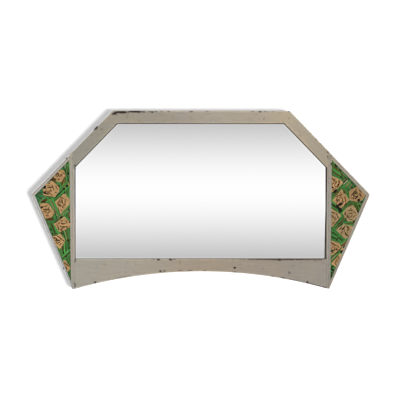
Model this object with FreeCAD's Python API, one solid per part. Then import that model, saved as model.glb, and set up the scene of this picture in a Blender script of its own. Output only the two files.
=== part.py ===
import FreeCAD, Part
import math
import os

# A wide wall mirror with a six-sided bevelled glass in a lapped wooden frame, with a carved panel in each
# pointed wing. Sizes are in millimetres. X runs along the mirror, Y from the viewer to the wall and Z up.
# Drawing heights are measured from the two bottom tips. The written solids have their origin in the
# frame's back plane, in the middle of the glass opening.

# Frame outline. The wing's reach, the tip's overhang and the top corner's setback run across, from the
# side of the glass opening, so a wing keeps its own size when the frame's width changes.
frame_width = 1000.0
frame_height = 525.5
frame_depth = 20.0
wing_reach = 128.8
tip_overhang = 7.8
top_corner_setback = 109.4
apex_height = 279.5
apex_round = 12.0
arch_rise = 53.2

# Frame members
rail_width = 36.0
stile_top_width = 15.0
stile_foot_width = 11.0
stile_housing = 5.0
upper_strip_width = 10.8
lower_strip_top_width = 10.2
lower_strip_foot_width = 6.6
frame_arris = 1.2
strip_arris = 2.4
sight_arris = 0.8
lap_depth_share = 0.5

# How closely two places have to agree to count as one
same_place = 0.001

# Glass and what backs it
lip_depth = 8.0
rebate_width = 7.0
glass_thickness = 4.0
glass_clearance = 0.8
bevel_width = 12.0
bevel_depth = 1.4
seat_gap = 0.1
backboard_thickness = 5.0

# Wing panels
panel_thickness = 9.0
panel_recess = 3.0
rose_height = 2.2
rose_top_share = 0.78
block_width = 8.0
upper_block_shares = (0.35, 0.8)
lower_block_shares = (0.15, 0.55)
stile_block_shares = (0.35, 0.8)

# Nails and pins, and where they lie along or across what they hold
nail_radius = 1.0
nail_head_radius = 2.0
nail_head_thickness = 0.8
nail_length = 16.0
face_nail_swell_share = 1.4
face_nail_drop = 10.0
pin_radius = 0.7
pin_head_radius = 1.2
pin_head_thickness = 0.6
pin_grip = 9.0
lap_nail_shares = (0.35, 0.62)
foot_nail_shares = (0.33, 0.66)
face_nail_shares = ((0.46, 0.18), (0.82, 0.0))
upper_pin_shares = (0.3, 0.7)
lower_pin_shares = (0.14, 0.38, 0.62, 0.93)

# Turn buttons and their screws
button_length = 32.0
button_width = 11.0
button_thickness = 1.6
button_gap = 0.3
button_bore_gap = 0.3
button_set = 15.0
button_screw_radius = 2.0
button_screw_length = 14.0
rail_button_share = 0.8
slope_button_share = 0.26

# Hangers
strap_width = 14.0
strap_length = 40.0
strap_thickness = 1.2
ring_wire = 3.0
ring_gap = 0.3
ring_inner_width = 18.0
ring_corner = 3.0
ring_side = 1.5
hanger_screw_radius = 1.75
hanger_screw_length = 13.0
hanger_screw_spacing = 12.0
hanger_screw_end = 7.0
hanger_run = 66.0

# Screw heads
head_radius = 3.5
head_height = 2.0
head_round = 0.8
slot_width = 0.9
slot_depth = 0.8

# Wall pads
pad_radius = 7.0
pad_height = 6.5
pad_round = 0.8
pad_inset = 42.0

# How far a cutting solid runs past what it cuts
overrun = 2.0

V = FreeCAD.Vector
half_sight = frame_width / 2 - wing_reach
sight_bottom = arch_rise + rail_width
sight_top = frame_height - rail_width
origin_height = (sight_bottom + sight_top) / 2
front = -frame_depth
lap_plane = front + frame_depth * lap_depth_share
lip_back = front + lip_depth
parts = {}


# Plane geometry, in X and Z. Outlines run clockwise as the viewer sees them.
def between(p, q, share):
    """The point that lies this share of the way from p to q."""
    return p[0] + (q[0] - p[0]) * share, p[1] + (q[1] - p[1]) * share


def through(p, q):
    """The line from p to q: a point and a unit direction."""
    length = math.hypot(q[0] - p[0], q[1] - p[1])
    return p, ((q[0] - p[0]) / length, (q[1] - p[1]) / length)


def upright(x):
    return (x, 0.0), (0.0, 1.0)


def level(z):
    return (0.0, z), (1.0, 0.0)


def meet(a, b):
    """The point where two lines cross."""
    (ax, az), (ux, uz) = a
    (bx, bz), (vx, vz) = b
    t = ((bx - ax) * vz - (bz - az) * vx) / (ux * vz - uz * vx)
    return ax + t * ux, az + t * uz


def inward(line, distance):
    """The line moved to its right, which is into a clockwise outline."""
    (x, z), (ux, uz) = line
    return (x + uz * distance, z - ux * distance), (ux, uz)


def step(point, direction, distance):
    return point[0] + direction[0] * distance, point[1] + direction[1] * distance


def grown(points, distance):
    """A clockwise outline with each side moved outward by the distance."""
    lines = [inward(through(p, q), -distance) for p, q in zip(points, points[1:] + points[:1])]
    return [meet(a, b) for a, b in zip(lines[-1:] + lines[:-1], lines)]


def mirrored(points):
    return [(-x, z) for x, z in reversed(points)]


# Solids
def ring_of(points, y):
    corners = [V(x, y, z) for x, z in points]
    return Part.makePolygon(corners + corners[:1])


def prism(points, near, far):
    """A solid with this outline from the depth near to the depth far."""
    return Part.Face(ring_of(points, near)).extrude(V(0, far - near, 0))


def taper(points, near, other_points, far):
    """A solid with flat sides from one outline to another whose sides are parallel to it."""
    first = [V(x, near, z) for x, z in points]
    last = [V(x, far, z) for x, z in other_points]
    faces = [Part.Face(Part.makePolygon(c + c[:1])) for c in (first, last)]
    for n in range(len(first)):
        corners = [first[n - 1], first[n], last[n], last[n - 1], first[n - 1]]
        faces.append(Part.Face(Part.makePolygon(corners)))
    solid = Part.Solid(Part.Shell(faces))
    if solid.Volume < 0:
        solid.reverse()
    return solid


def rod(point, radius, near, far):
    return Part.makeCylinder(radius, far - near, V(point[0], near, point[1]), V(0, 1, 0))


def joined(shapes):
    first, rest = shapes[0], list(shapes[1:])
    return first.fuse(rest).removeSplitter() if rest else first


def front_edges(shape, y):
    """The edges that lie wholly at the depth y."""
    return [e for e in shape.Edges if all(abs(v.Y - y) < same_place for v in e.Vertexes)]


def other_side(shape):
    return shape.mirror(V(0, 0, 0), V(1, 0, 0))


# Lines and corners of the right half
top_corner = (half_sight - top_corner_setback, frame_height)
apex = (frame_width / 2, apex_height)
tip = (half_sight + tip_overhang, 0.0)
slope = through(top_corner, apex)
fall = through(apex, tip)
inner_slope = inward(slope, rail_width)
strip_slope = inward(slope, upper_strip_width)
sight_side = upright(half_sight)
sight_corner = meet(level(sight_top), inner_slope)
sight_shoulder = meet(sight_side, inner_slope)
sight_foot = (half_sight, sight_bottom)
panel_top = meet(upright(half_sight + stile_top_width), strip_slope)
panel_apex = meet(strip_slope, inward(fall, lower_strip_top_width))
panel_tip = meet(upright(half_sight + stile_foot_width), inward(fall, lower_strip_foot_width))
panel_side = through(panel_top, panel_tip)
strip_fall = through(panel_apex, panel_tip)
stile_head = meet(panel_side, slope)
below = level(-overrun)


def outline_block():
    """The whole frame's outline as one block."""
    centre = meet(inward(slope, apex_round), inward(fall, apex_round))
    outward_slope = (-slope[1][1], slope[1][0])
    outward_fall = (-fall[1][1], fall[1][0])
    arc_start = step(centre, outward_slope, apex_round)
    arc_end = step(centre, outward_fall, apex_round)
    arc_middle = step(centre, through(centre, apex)[1], apex_round)

    def place(point, side):
        return V(point[0] * side, front, point[1])

    edges = [Part.LineSegment(place(top_corner, -1), place(top_corner, 1))]
    edges.append(Part.Arc(place(tip, 1), V(0, front, arch_rise), place(tip, -1)))
    for side in (1, -1):
        edges.append(Part.LineSegment(place(top_corner, side), place(arc_start, side)))
        edges.append(Part.Arc(place(arc_start, side), place(arc_middle, side), place(arc_end, side)))
        edges.append(Part.LineSegment(place(arc_end, side), place(tip, side)))
    wire = Part.Wire(Part.__sortEdges__([e.toShape() for e in edges]))
    return Part.Face(wire).extrude(V(0, frame_depth, 0))


# The rails' front arrises are eased flat, and the wing strips' are rounded on each side of the frame.
plain_blank = outline_block()
frame_blank = plain_blank.makeChamfer(frame_arris, front_edges(plain_blank, front))
wing_edges = [e for e in front_edges(plain_blank, front) if e.BoundBox.XMin * e.BoundBox.XMax > 0]
strip_blank = plain_blank.makeFillet(strip_arris, wing_edges)

sight_right = [sight_corner, sight_shoulder, sight_foot]
sight = sight_right + mirrored(sight_right)
rebate = grown(sight, rebate_width)
sight_cut = joined(
    [
        prism(sight, front - overrun, overrun),
        taper(grown(sight, sight_arris + overrun), front - overrun, sight, front + sight_arris),
        prism(rebate, lip_back, overrun),
    ]
)

# Hanger and turn button places on the right slope rail and its neighbours
band_middle = (rail_width - rebate_width) / 2
up_slope = (-slope[1][0], -slope[1][1])
outward = (-slope[1][1], slope[1][0])
hanger_pivot = step(inward(slope, band_middle)[0], slope[1], hanger_run)
pivot_height = strap_thickness + ring_gap + ring_wire / 2
curl_bore = ring_wire / 2 + ring_gap
slope_tilt = math.degrees(math.atan2(up_slope[0], up_slope[1]))


def screw(radius, length, foot):
    """A pan-head screw along Y, with its head seated at the depth foot and its shank towards the front."""
    head = Part.makeCylinder(head_radius, head_height, V(0, foot, 0), V(0, 1, 0))
    head = head.makeFillet(head_round, front_edges(head, foot + head_height))
    slot = Part.makeBox(
        2 * (head_radius + overrun),
        slot_depth + overrun,
        slot_width,
        V(-head_radius - overrun, foot + head_height - slot_depth, -slot_width / 2),
    )
    shank = Part.makeCylinder(radius, length, V(0, foot - length, 0), V(0, 1, 0))
    return joined([head.cut(slot), shank])


def at(shape, point, tilt):
    """A copy turned by the tilt about Y and carried to the point."""
    turned = shape.copy()
    turned.rotate(V(0, 0, 0), V(0, 1, 0), tilt)
    turned.translate(V(point[0], 0, point[1]))
    return turned


# Hangers
def hanger_strap():
    """A screwed plate whose upper end is curled round the ring's straight bar."""
    plate = Part.makeBox(
        strap_width,
        strap_thickness,
        strap_length - strap_width / 2,
        V(-strap_width / 2, 0, strap_width / 2 - strap_length),
    )
    end = Part.makeCylinder(
        strap_width / 2, strap_thickness, V(0, 0, strap_width / 2 - strap_length), V(0, 1, 0)
    )
    centre = V(-strap_width / 2, pivot_height, 0)
    curl = Part.makeCylinder(curl_bore + strap_thickness, strap_width, centre, V(1, 0, 0))
    bore = Part.makeCylinder(
        curl_bore, strap_width + 2 * overrun, centre - V(overrun, 0, 0), V(1, 0, 0)
    )
    strap = joined([plate, end, curl]).cut(bore)
    for z in hanger_screw_heights():
        strap = strap.cut(rod((0, z), hanger_screw_radius, -overrun, strap_thickness + overrun))
    return strap


def hanger_screw_heights():
    lower = hanger_screw_end - strap_length
    return [lower, lower + hanger_screw_spacing]


def hanger_ring():
    """A closed wire loop that hangs from its straight bar: bar, two corners, two sides and a half circle."""
    half = (ring_inner_width + ring_wire) / 2
    reach = half - ring_corner
    wire = ring_wire / 2

    def section(x, z, direction):
        return Part.Face(Part.Wire(Part.makeCircle(wire, V(x, pivot_height, z), direction)))

    pieces = [section(-reach, 0, V(1, 0, 0)).extrude(V(2 * reach, 0, 0))]
    for side in (1, -1):
        corner_centre = V(reach * side, pivot_height, -ring_corner)
        pieces.append(section(reach * side, 0, V(1, 0, 0)).revolve(corner_centre, V(0, side, 0), 90))
        pieces.append(section(half * side, -ring_corner, V(0, 0, 1)).extrude(V(0, 0, -ring_side)))
    bow_centre = V(0, pivot_height, -ring_corner - ring_side)
    pieces.append(section(half, -ring_corner - ring_side, V(0, 0, 1)).revolve(bow_centre, V(0, 1, 0), 180))
    return joined(pieces)


def add_hangers():
    screws = []
    one = screw(hanger_screw_radius, hanger_screw_length, strap_thickness)
    for z in hanger_screw_heights():
        placed = one.copy()
        placed.translate(V(0, 0, z))
        placed = at(placed, hanger_pivot, slope_tilt)
        screws += [placed, other_side(placed)]
    strap = at(hanger_strap(), hanger_pivot, slope_tilt)
    ring = at(hanger_ring(), hanger_pivot, slope_tilt)
    parts["right_hanger_strap"] = strap
    parts["left_hanger_strap"] = other_side(strap)
    parts["right_hanger_ring"] = ring
    parts["left_hanger_ring"] = other_side(ring)
    parts["hanger_screws"] = Part.makeCompound(screws)
    return screws


# Turn buttons
def button_places():
    """The name, pivot and tilt of each turn button, whose long side crosses the backboard's edge."""
    top = sight_top + button_set
    bottom = sight_bottom - button_set
    out_top = sight_corner[0] * rail_button_share
    out_bottom = half_sight * rail_button_share
    on_slope = between(sight_shoulder, sight_corner, slope_button_share)
    on_slope = step(on_slope, outward, button_set)
    return {
        "top_left_turn_button": ((-out_top, top), 0),
        "top_middle_turn_button": ((0, top), 0),
        "top_right_turn_button": ((out_top, top), 0),
        "right_slope_turn_button": (on_slope, 90 + slope_tilt),
        "bottom_right_turn_button": ((out_bottom, bottom), 0),
        "bottom_middle_turn_button": ((0, bottom), 0),
        "bottom_left_turn_button": ((-out_bottom, bottom), 0),
        "left_slope_turn_button": ((-on_slope[0], on_slope[1]), 90 - slope_tilt),
    }


def turn_button():
    """A flat plate with round ends and a hole in the middle, long side upright."""
    half = button_length / 2 - button_width / 2
    low, high = button_gap, button_gap + button_thickness
    plate = Part.makeBox(button_width, button_thickness, 2 * half, V(-button_width / 2, low, -half))
    ends = [rod((0, z), button_width / 2, low, high) for z in (half, -half)]
    hole = rod((0, 0), button_screw_radius + button_bore_gap, low - overrun, high + overrun)
    return joined([plate] + ends).cut(hole)


def add_buttons():
    screws = []
    one = screw(button_screw_radius, button_screw_length, 2 * button_gap + button_thickness)
    for name, (point, tilt) in button_places().items():
        parts[name] = at(turn_button(), point, tilt)
        screws.append(at(one, point, tilt))
    parts["button_screws"] = Part.makeCompound(screws)
    return screws


# Nails and pins
def lap_nail(point):
    """A nail driven from behind, with its head flush with the back."""
    head = rod(point, nail_head_radius, -nail_head_thickness, 0)
    return joined([head, rod(point, nail_radius, -nail_length, -nail_head_thickness)])


def face_nail(point):
    """A nail driven from the front, with its head flush with the painted face."""
    head = rod(point, nail_radius * face_nail_swell_share, front, front + nail_head_thickness)
    return joined([head, rod(point, nail_radius, front + nail_head_thickness, front + nail_length)])


def strip_pin(point, direction, width):
    """A pin driven through a strip's outer side, square to it."""
    y = front + panel_recess + panel_thickness / 2
    start = V(point[0], y, point[1])
    along = V(direction[0], 0, direction[1])
    head = Part.makeCylinder(pin_head_radius, pin_head_thickness, start, along)
    length = width + pin_grip - pin_head_thickness
    return joined([head, Part.makeCylinder(pin_radius, length, start + along * pin_head_thickness, along)])


def add_nails():
    lap_head = meet(level(frame_height), inner_slope)
    lap_end = meet(level(sight_top), slope)
    lap_places = [between(lap_head, lap_end, share) for share in lap_nail_shares]
    foot_middle = half_sight + stile_foot_width / 2
    lap_places += [(foot_middle, sight_bottom * share) for share in foot_nail_shares]
    face_places = [
        (half_sight + stile_top_width * across_share, stile_head[1] - face_nail_drop * (1 + down_share))
        for across_share, down_share in face_nail_shares
    ]
    pins = []
    for share in upper_pin_shares:
        pins.append(strip_pin(between(stile_head, apex, share), inward_of(slope), upper_strip_width))
    for share in lower_pin_shares:
        width = lower_strip_top_width + (lower_strip_foot_width - lower_strip_top_width) * share
        pins.append(strip_pin(between(apex, tip, share), inward_of(fall), width))
    groups = {
        "lap_nails": [lap_nail(p) for p in lap_places],
        "face_nails": [face_nail(p) for p in face_places],
        "strip_pins": pins,
    }
    every = []
    for name, solids in groups.items():
        both = solids + [other_side(s) for s in solids]
        parts[name] = Part.makeCompound(both)
        every += both
    return every


def inward_of(line):
    return line[1][1], -line[1][0]


# Wing panels: where each rose lies, from the stile to the apex and from the tips to the apex's height,
# with its half width and half height as shares of the apex height, its corners and its turn in degrees.
left_rose_shares = [
    (0.30, 1.19, 0.064, 0.070, 5, 10),
    (0.50, 1.05, 0.086, 0.086, 5, 40),
    (0.19, 0.90, 0.080, 0.108, 4, 6),
    (0.62, 0.83, 0.074, 0.090, 5, 70),
    (0.19, 0.68, 0.084, 0.084, 4, 14),
    (0.33, 0.51, 0.062, 0.080, 5, 20),
    (0.08, 0.25, 0.040, 0.060, 4, 30),
]
right_rose_shares = [
    (0.10, 1.11, 0.066, 0.100, 5, 30),
    (0.74, 0.98, 0.078, 0.078, 5, 60),
    (0.28, 0.95, 0.084, 0.090, 4, 8),
    (0.54, 0.79, 0.084, 0.084, 5, 15),
    (0.09, 0.76, 0.060, 0.090, 5, 50),
    (0.38, 0.61, 0.088, 0.080, 5, 35),
    (0.09, 0.43, 0.060, 0.076, 5, 20),
    (0.33, 0.43, 0.036, 0.042, 4, 30),
    (0.13, 0.30, 0.044, 0.068, 4, 12),
]


def rose_outline(centre, half_width, half_height, corners, turn):
    points = []
    for n in range(corners):
        angle = math.radians(90 + turn) - 2 * math.pi * n / corners
        points.append((centre[0] + half_width * math.cos(angle), centre[1] + half_height * math.sin(angle)))
    return points


def wing_panel(rose_shares):
    """A recessed board with a raised block for each rose, on the right side."""
    triangle = [panel_top, panel_apex, panel_tip]
    ground = front + panel_recess
    board = prism(triangle, ground, ground + panel_thickness)
    clip = prism(triangle, ground - rose_height - overrun, ground + overrun)
    stile_x = half_sight + stile_top_width
    for out_share, up_share, width_share, height_share, corners, turn in rose_shares:
        centre = (stile_x + (panel_apex[0] - stile_x) * out_share, apex_height * up_share)
        foot = rose_outline(centre, apex_height * width_share, apex_height * height_share, corners, turn)
        crown = [between(centre, p, rose_top_share) for p in foot]
        rose = taper(crown, ground - rose_height, foot, ground)
        board = board.fuse(rose.common(clip))
    return board.removeSplitter()


def glue_blocks():
    """Battens glued behind the panel, in its corner with the stile and with each strip."""
    sides = [
        (panel_top, panel_apex, upper_block_shares),
        (panel_apex, panel_tip, lower_block_shares),
        (panel_tip, panel_top, stile_block_shares),
    ]
    blocks = []
    for p, q, shares in sides:
        line = through(p, q)
        start, end = (between(p, q, share) for share in shares)
        across = inward_of(line)
        corners = [start, end, step(end, across, block_width), step(start, across, block_width)]
        blocks.append(prism(corners, front + panel_recess + panel_thickness, 0))
    return blocks


def add_wings():
    right = wing_panel(right_rose_shares)
    left = other_side(wing_panel(left_rose_shares))
    blocks = glue_blocks()
    parts["right_wing_panel"] = right
    parts["left_wing_panel"] = left
    parts["right_glue_blocks"] = Part.makeCompound(blocks)
    parts["left_glue_blocks"] = Part.makeCompound([other_side(b) for b in blocks])


# Frame members. Each half lap gives its front half to the member whose face shows at that corner.
def layered(front_points, back_points):
    """A member with one outline before the lap plane and another behind it."""
    return joined([prism(front_points, front, lap_plane), prism(back_points, lap_plane, 0)])


def add_frame():
    lap_head = meet(level(frame_height), inner_slope)
    lap_end = meet(level(sight_top), slope)
    housing = upright(half_sight + stile_housing)
    stile_lap = meet(inner_slope, panel_side)
    rail_side = meet(panel_side, level(sight_bottom))
    strip_foot = meet(strip_fall, below)
    sight_low = meet(sight_side, below)

    top_front = [top_corner, lap_end]
    top_back = [lap_head, sight_corner]
    top_rail = layered(mirrored(top_front) + top_front, mirrored(top_back) + top_back)

    slope_front = [lap_end, meet(slope, housing), meet(inner_slope, housing), sight_corner]
    slope_back = [top_corner, stile_head, stile_lap, lap_head]
    slope_rail = layered(slope_front, slope_back)

    stile_front = [meet(slope, housing), stile_head, panel_tip, strip_foot, sight_low]
    stile_front += [sight_shoulder, meet(inner_slope, housing)]
    stile_back = [sight_shoulder, stile_lap, rail_side, sight_foot]
    stile = layered(stile_front, stile_back)

    bottom_front = [sight_foot, sight_low]
    bottom_back = [rail_side, panel_tip, strip_foot]
    bottom_rail = layered(bottom_front + mirrored(bottom_front), bottom_back + mirrored(bottom_back))

    upper_strip = prism([stile_head, apex, panel_apex, panel_top], front, 0)
    lower_strip = prism([apex, meet(fall, below), strip_foot, panel_apex], front, 0)

    parts["top_rail"] = top_rail.common(frame_blank).cut(sight_cut)
    parts["bottom_rail"] = bottom_rail.common(frame_blank).cut(sight_cut)
    halves = {
        "slope_rail": slope_rail.common(frame_blank).cut(sight_cut),
        "stile": stile.common(frame_blank).cut(sight_cut),
        "wing_upper_strip": upper_strip.common(strip_blank),
        "wing_lower_strip": lower_strip.common(strip_blank),
    }
    for name, shape in halves.items():
        parts["right_" + name] = shape
        parts["left_" + name] = other_side(shape)


# Glass, packing and backboard
def add_glass():
    """The glass bears on the lip with its bevel, and the packing fills what is left behind it."""
    outline = grown(rebate, -glass_clearance)
    covered = rebate_width - glass_clearance
    drop = bevel_depth * (bevel_width - covered) / bevel_width
    face = lip_back + seat_gap - drop
    edge = face + bevel_depth
    back = face + glass_thickness
    plain = prism(outline, edge, back)
    bevel = taper(grown(outline, -bevel_width), face, outline, edge)
    parts["mirror_glass"] = joined([bevel, plain])
    parts["packing_sheet"] = prism(outline, back, -backboard_thickness)
    parts["backboard"] = prism(outline, -backboard_thickness, 0)


def add_pads():
    pad = Part.makeCylinder(pad_radius, pad_height, V(0, 0, 0), V(0, 1, 0))
    pad = pad.makeFillet(pad_round, front_edges(pad, pad_height))
    pad.translate(V(half_sight - pad_inset, 0, sight_bottom / 2))
    parts["right_wall_pad"] = pad
    parts["left_wall_pad"] = other_side(pad)


wooden = ["top_rail", "bottom_rail"]
wooden += [
    side + name
    for side in ("left_", "right_")
    for name in ("slope_rail", "stile", "wing_upper_strip", "wing_lower_strip", "wing_panel")
]

add_frame()
add_wings()
add_glass()
add_pads()
fasteners = add_nails() + add_buttons() + add_hangers()
for name in wooden:
    box = parts[name].BoundBox
    near = [f for f in fasteners if f.BoundBox.intersect(box)]
    parts[name] = parts[name].cut(near) if near else parts[name]

os.makedirs("parts", exist_ok=True)
for name, shape in sorted(parts.items()):
    shape.translate(V(0, 0, -origin_height))
    shape.exportStep("parts/" + name + ".step")
    print(name, shape.isValid(), len(shape.Solids), round(shape.Volume))
print("hanger pivot", hanger_pivot[0], pivot_height, hanger_pivot[1] - origin_height)
print("outward", outward, "buttons", {n: (p[0], p[1] - origin_height) for n, (p, _) in button_places().items()})
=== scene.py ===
import math

import bpy
import numpy as np
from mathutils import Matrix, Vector


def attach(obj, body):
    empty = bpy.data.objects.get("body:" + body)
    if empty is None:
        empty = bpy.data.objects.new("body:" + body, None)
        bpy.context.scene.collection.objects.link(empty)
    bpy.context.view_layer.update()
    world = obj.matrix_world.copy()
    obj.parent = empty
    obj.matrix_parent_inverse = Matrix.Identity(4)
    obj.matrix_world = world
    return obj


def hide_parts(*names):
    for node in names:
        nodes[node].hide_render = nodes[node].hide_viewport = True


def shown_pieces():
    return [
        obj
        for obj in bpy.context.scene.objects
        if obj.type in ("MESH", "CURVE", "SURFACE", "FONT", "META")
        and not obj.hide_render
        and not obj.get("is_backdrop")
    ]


# A wide wall mirror in a painted, lapped wooden frame with a carved and painted panel in each pointed wing.
# Blender's units are metres. Names that end in mm hold millimetres, and names that end in px hold places or
# lengths in the photograph, whose frame is 400 pixels wide and 400 high.

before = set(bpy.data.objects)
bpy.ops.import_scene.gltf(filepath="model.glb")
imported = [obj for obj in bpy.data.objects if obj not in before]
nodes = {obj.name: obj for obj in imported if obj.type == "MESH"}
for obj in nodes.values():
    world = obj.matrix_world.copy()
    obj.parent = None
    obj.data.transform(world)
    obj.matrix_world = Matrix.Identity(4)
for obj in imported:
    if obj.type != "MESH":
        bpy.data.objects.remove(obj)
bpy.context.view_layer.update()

MM = 0.001

# The frame's outline and members, with heights from the middle of the glass opening
half_sight_mm = 371.2
sight_top_mm = 200.15
sight_bottom_mm = -200.15
rail_width_mm = 36.0
top_corner_mm = (261.8, 236.15)
apex_mm = (500.0, -9.85)
tip_mm = (379.0, -289.35)
arch_crown_mm = -236.15
stile_top_width_mm = 15.0
stile_foot_width_mm = 11.0
stile_housing_mm = 5.0
upper_strip_width_mm = 10.8
lower_strip_top_width_mm = 10.2
lower_strip_foot_width_mm = 6.6
front_mm = -20.0

# The panels
panel_ground_mm = -17.0
panel_back_mm = -8.0

# The camera, and where the photograph holds the object
photo_width_px = 400
photo_scale_mm = 2.943
lens_mm = 76.2
sensor_mm = 36.0
object_middle_px = (201.0, 200.17)
camera_azimuth_deg = -1.0
camera_elevation_deg = 0.3


# Plane geometry in X and Z, in millimetres. Outlines run clockwise as the viewer sees them.
def through(p, q):
    """The line from p to q: a point and a unit direction."""
    length = math.hypot(q[0] - p[0], q[1] - p[1])
    return p, ((q[0] - p[0]) / length, (q[1] - p[1]) / length)


def upright(x):
    return (x, 0.0), (0.0, 1.0)


def meet(a, b):
    """The point where two lines cross."""
    (ax, az), (ux, uz) = a
    (bx, bz), (vx, vz) = b
    t = ((bx - ax) * vz - (bz - az) * vx) / (ux * vz - uz * vx)
    return ax + t * ux, az + t * uz


def inward(line, distance):
    """The line moved to its right, which is into a clockwise outline."""
    (x, z), (ux, uz) = line
    return (x + uz * distance, z - ux * distance), (ux, uz)


def outer_side(line):
    """A line as its outward normal and its distance from the origin, in millimetres."""
    (x, z), (ux, uz) = line
    nx, nz = -uz, ux
    return nx, nz, x * nx + z * nz


slope = through(top_corner_mm, apex_mm)
fall = through(apex_mm, tip_mm)
inner_slope = inward(slope, rail_width_mm)
strip_slope = inward(slope, upper_strip_width_mm)
panel_top = meet(upright(half_sight_mm + stile_top_width_mm), strip_slope)
panel_apex = meet(strip_slope, inward(fall, lower_strip_top_width_mm))
panel_tip = meet(upright(half_sight_mm + stile_foot_width_mm), inward(fall, lower_strip_foot_width_mm))

# The camera's place and directions. It has the photograph's scale on the front of the frame.
focal_px = lens_mm / sensor_mm * photo_width_px
distance_mm = focal_px * photo_scale_mm
half_px = photo_width_px / 2
azimuth, elevation = math.radians(camera_azimuth_deg), math.radians(camera_elevation_deg)
level_share = math.cos(elevation)
ahead = Vector((-math.sin(azimuth) * level_share, math.cos(azimuth) * level_share, -math.sin(elevation)))
rightward = Vector((math.cos(azimuth), math.sin(azimuth), 0.0))
upward = rightward.cross(ahead)
aim_x_mm = (half_px - object_middle_px[0]) * photo_scale_mm
aim_z_mm = (top_corner_mm[1] + tip_mm[1]) / 2 - (half_px - object_middle_px[1]) * photo_scale_mm
camera_mm = Vector((aim_x_mm, front_mm, aim_z_mm)) - ahead * distance_mm


def on_front(px, py):
    """Where a place in the photograph lies on the front of the frame, as X and Z."""
    ray = ahead * focal_px + rightward * (px - half_px) + upward * (half_px - py)
    place = camera_mm + ray * ((front_mm - camera_mm.y) / ray.y)
    return place.x, place.z


def in_photo(x, y, z):
    """Where points on the object, as arrays in millimetres, lie in the photograph."""
    steps = [x - camera_mm.x, y - camera_mm.y, z - camera_mm.z]
    away, across, above = (sum(s * d for s, d in zip(steps, axis)) for axis in (ahead, rightward, upward))
    return half_px + focal_px * across / away, half_px - focal_px * above / away


# Colours are written as they show on a screen, from 0 to 255
def linear(colour):
    def one(value):
        share = value / 255
        return share / 12.92 if share <= 0.04045 else ((share + 0.055) / 1.055) ** 2.4

    return tuple(one(value) for value in colour)


class Shader:
    """A material whose nodes are made by short calls. A value may be a number, a colour or a socket."""

    def __init__(self, name, tree=None):
        if tree is None:
            self.material = bpy.data.materials.new(name)
            self.material.use_nodes = True
            tree = self.material.node_tree
        self.tree = tree
        tree.nodes.clear()

    def node(self, kind, settings=None, **values):
        made = self.tree.nodes.new(kind)
        for key, value in (settings or {}).items():
            setattr(made, key, value)
        for key, value in values.items():
            self.put(made.inputs[key.replace("_", " ")], value)
        return made

    def put(self, socket, value):
        if isinstance(value, bpy.types.NodeSocket):
            self.tree.links.new(value, socket)
        elif isinstance(value, tuple) and len(value) == 3 and socket.type == "RGBA":
            socket.default_value = (*value, 1.0)
        else:
            socket.default_value = value

    def place(self):
        """Where a point lies on the object, in metres."""
        return self.node("ShaderNodeTexCoord").outputs["Object"]

    def facing(self):
        """The surface's own direction."""
        return self.node("ShaderNodeTexCoord").outputs["Normal"]

    def axes(self, vector):
        return self.node("ShaderNodeSeparateXYZ", Vector=vector).outputs

    def math(self, operation, a, b=0.0, c=0.0, clamp=False):
        made = self.node("ShaderNodeMath", {"operation": operation, "use_clamp": clamp})
        for socket, value in zip(made.inputs, (a, b, c)):
            self.put(socket, value)
        return made.outputs[0]

    def turned(self, vector, degrees, stretch=(1.0, 1.0, 1.0)):
        """The place turned about Y, so that its X runs along a member, and stretched."""
        spun = self.node("ShaderNodeMapping", {"vector_type": "POINT"}, Vector=vector)
        spun.inputs["Rotation"].default_value = (0.0, math.radians(-degrees), 0.0)
        scaled = self.node("ShaderNodeMapping", {"vector_type": "POINT"}, Vector=spun.outputs[0])
        scaled.inputs["Scale"].default_value = stretch
        return scaled.outputs[0]

    def noise(self, vector, scale, detail=2.0, roughness=0.5, distortion=0.0):
        made = self.node(
            "ShaderNodeTexNoise",
            Vector=vector,
            Scale=scale,
            Detail=detail,
            Roughness=roughness,
            Distortion=distortion,
        )
        return made.outputs[0]

    def band(self, value, low, high, start=0.0, end=1.0):
        """A smooth step from start, at low, to end, at high."""
        made = self.node("ShaderNodeMapRange", {"interpolation_type": "SMOOTHSTEP"}, Value=value)
        for key, number in (("From Min", low), ("From Max", high), ("To Min", start), ("To Max", end)):
            self.put(made.inputs[key], number)
        return made.outputs[0]

    def fade(self, length, span_mm, start=1.0, end=0.0):
        """A smooth step over a span that is given in millimetres."""
        low, high = span_mm
        return self.band(length, low * MM, high * MM, start, end)

    def mix(self, share, a, b, blend="MIX"):
        made = self.node("ShaderNodeMix", {"data_type": "RGBA", "blend_type": blend})
        for index, value in ((0, share), (6, a), (7, b)):
            self.put(made.inputs[index], value)
        return made.outputs[2]

    def ramp(self, share, stops):
        made = self.node("ShaderNodeValToRGB", Fac=share)
        ramp = made.color_ramp
        while len(ramp.elements) < len(stops):
            ramp.elements.new(1.0)
        for element, (position, colour) in zip(ramp.elements, stops):
            element.position = position
            element.color = (*linear(colour), 1.0)
        return made.outputs[0]

    def bump(self, height, depth_mm, strength):
        made = self.node("ShaderNodeBump", Height=height, Distance=depth_mm * MM, Strength=strength)
        return made.outputs[0]

    def surface(self, **values):
        made = self.node("ShaderNodeBsdfPrincipled", **values)
        output = self.node("ShaderNodeOutputMaterial", Surface=made.outputs[0])
        output.is_active_output = True
        return self.material


# Distances in a shader, in metres. A line is (nx, nz, c): points inside it have x nx + z nz less than c.
def folded(s, place):
    """The place with its left half laid over its right half."""
    x, y, z = s.axes(place)
    return s.math("ABSOLUTE", x), y, z


def beyond(s, x, z, line):
    """How far a point lies beyond a line."""
    nx, nz, c = line
    across = s.math("MULTIPLY_ADD", x, nx, s.math("MULTIPLY", z, nz))
    return s.math("SUBTRACT", across, c * MM)


def largest(s, values):
    found = values[0]
    for value in values[1:]:
        found = s.math("MAXIMUM", found, value)
    return found


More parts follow.
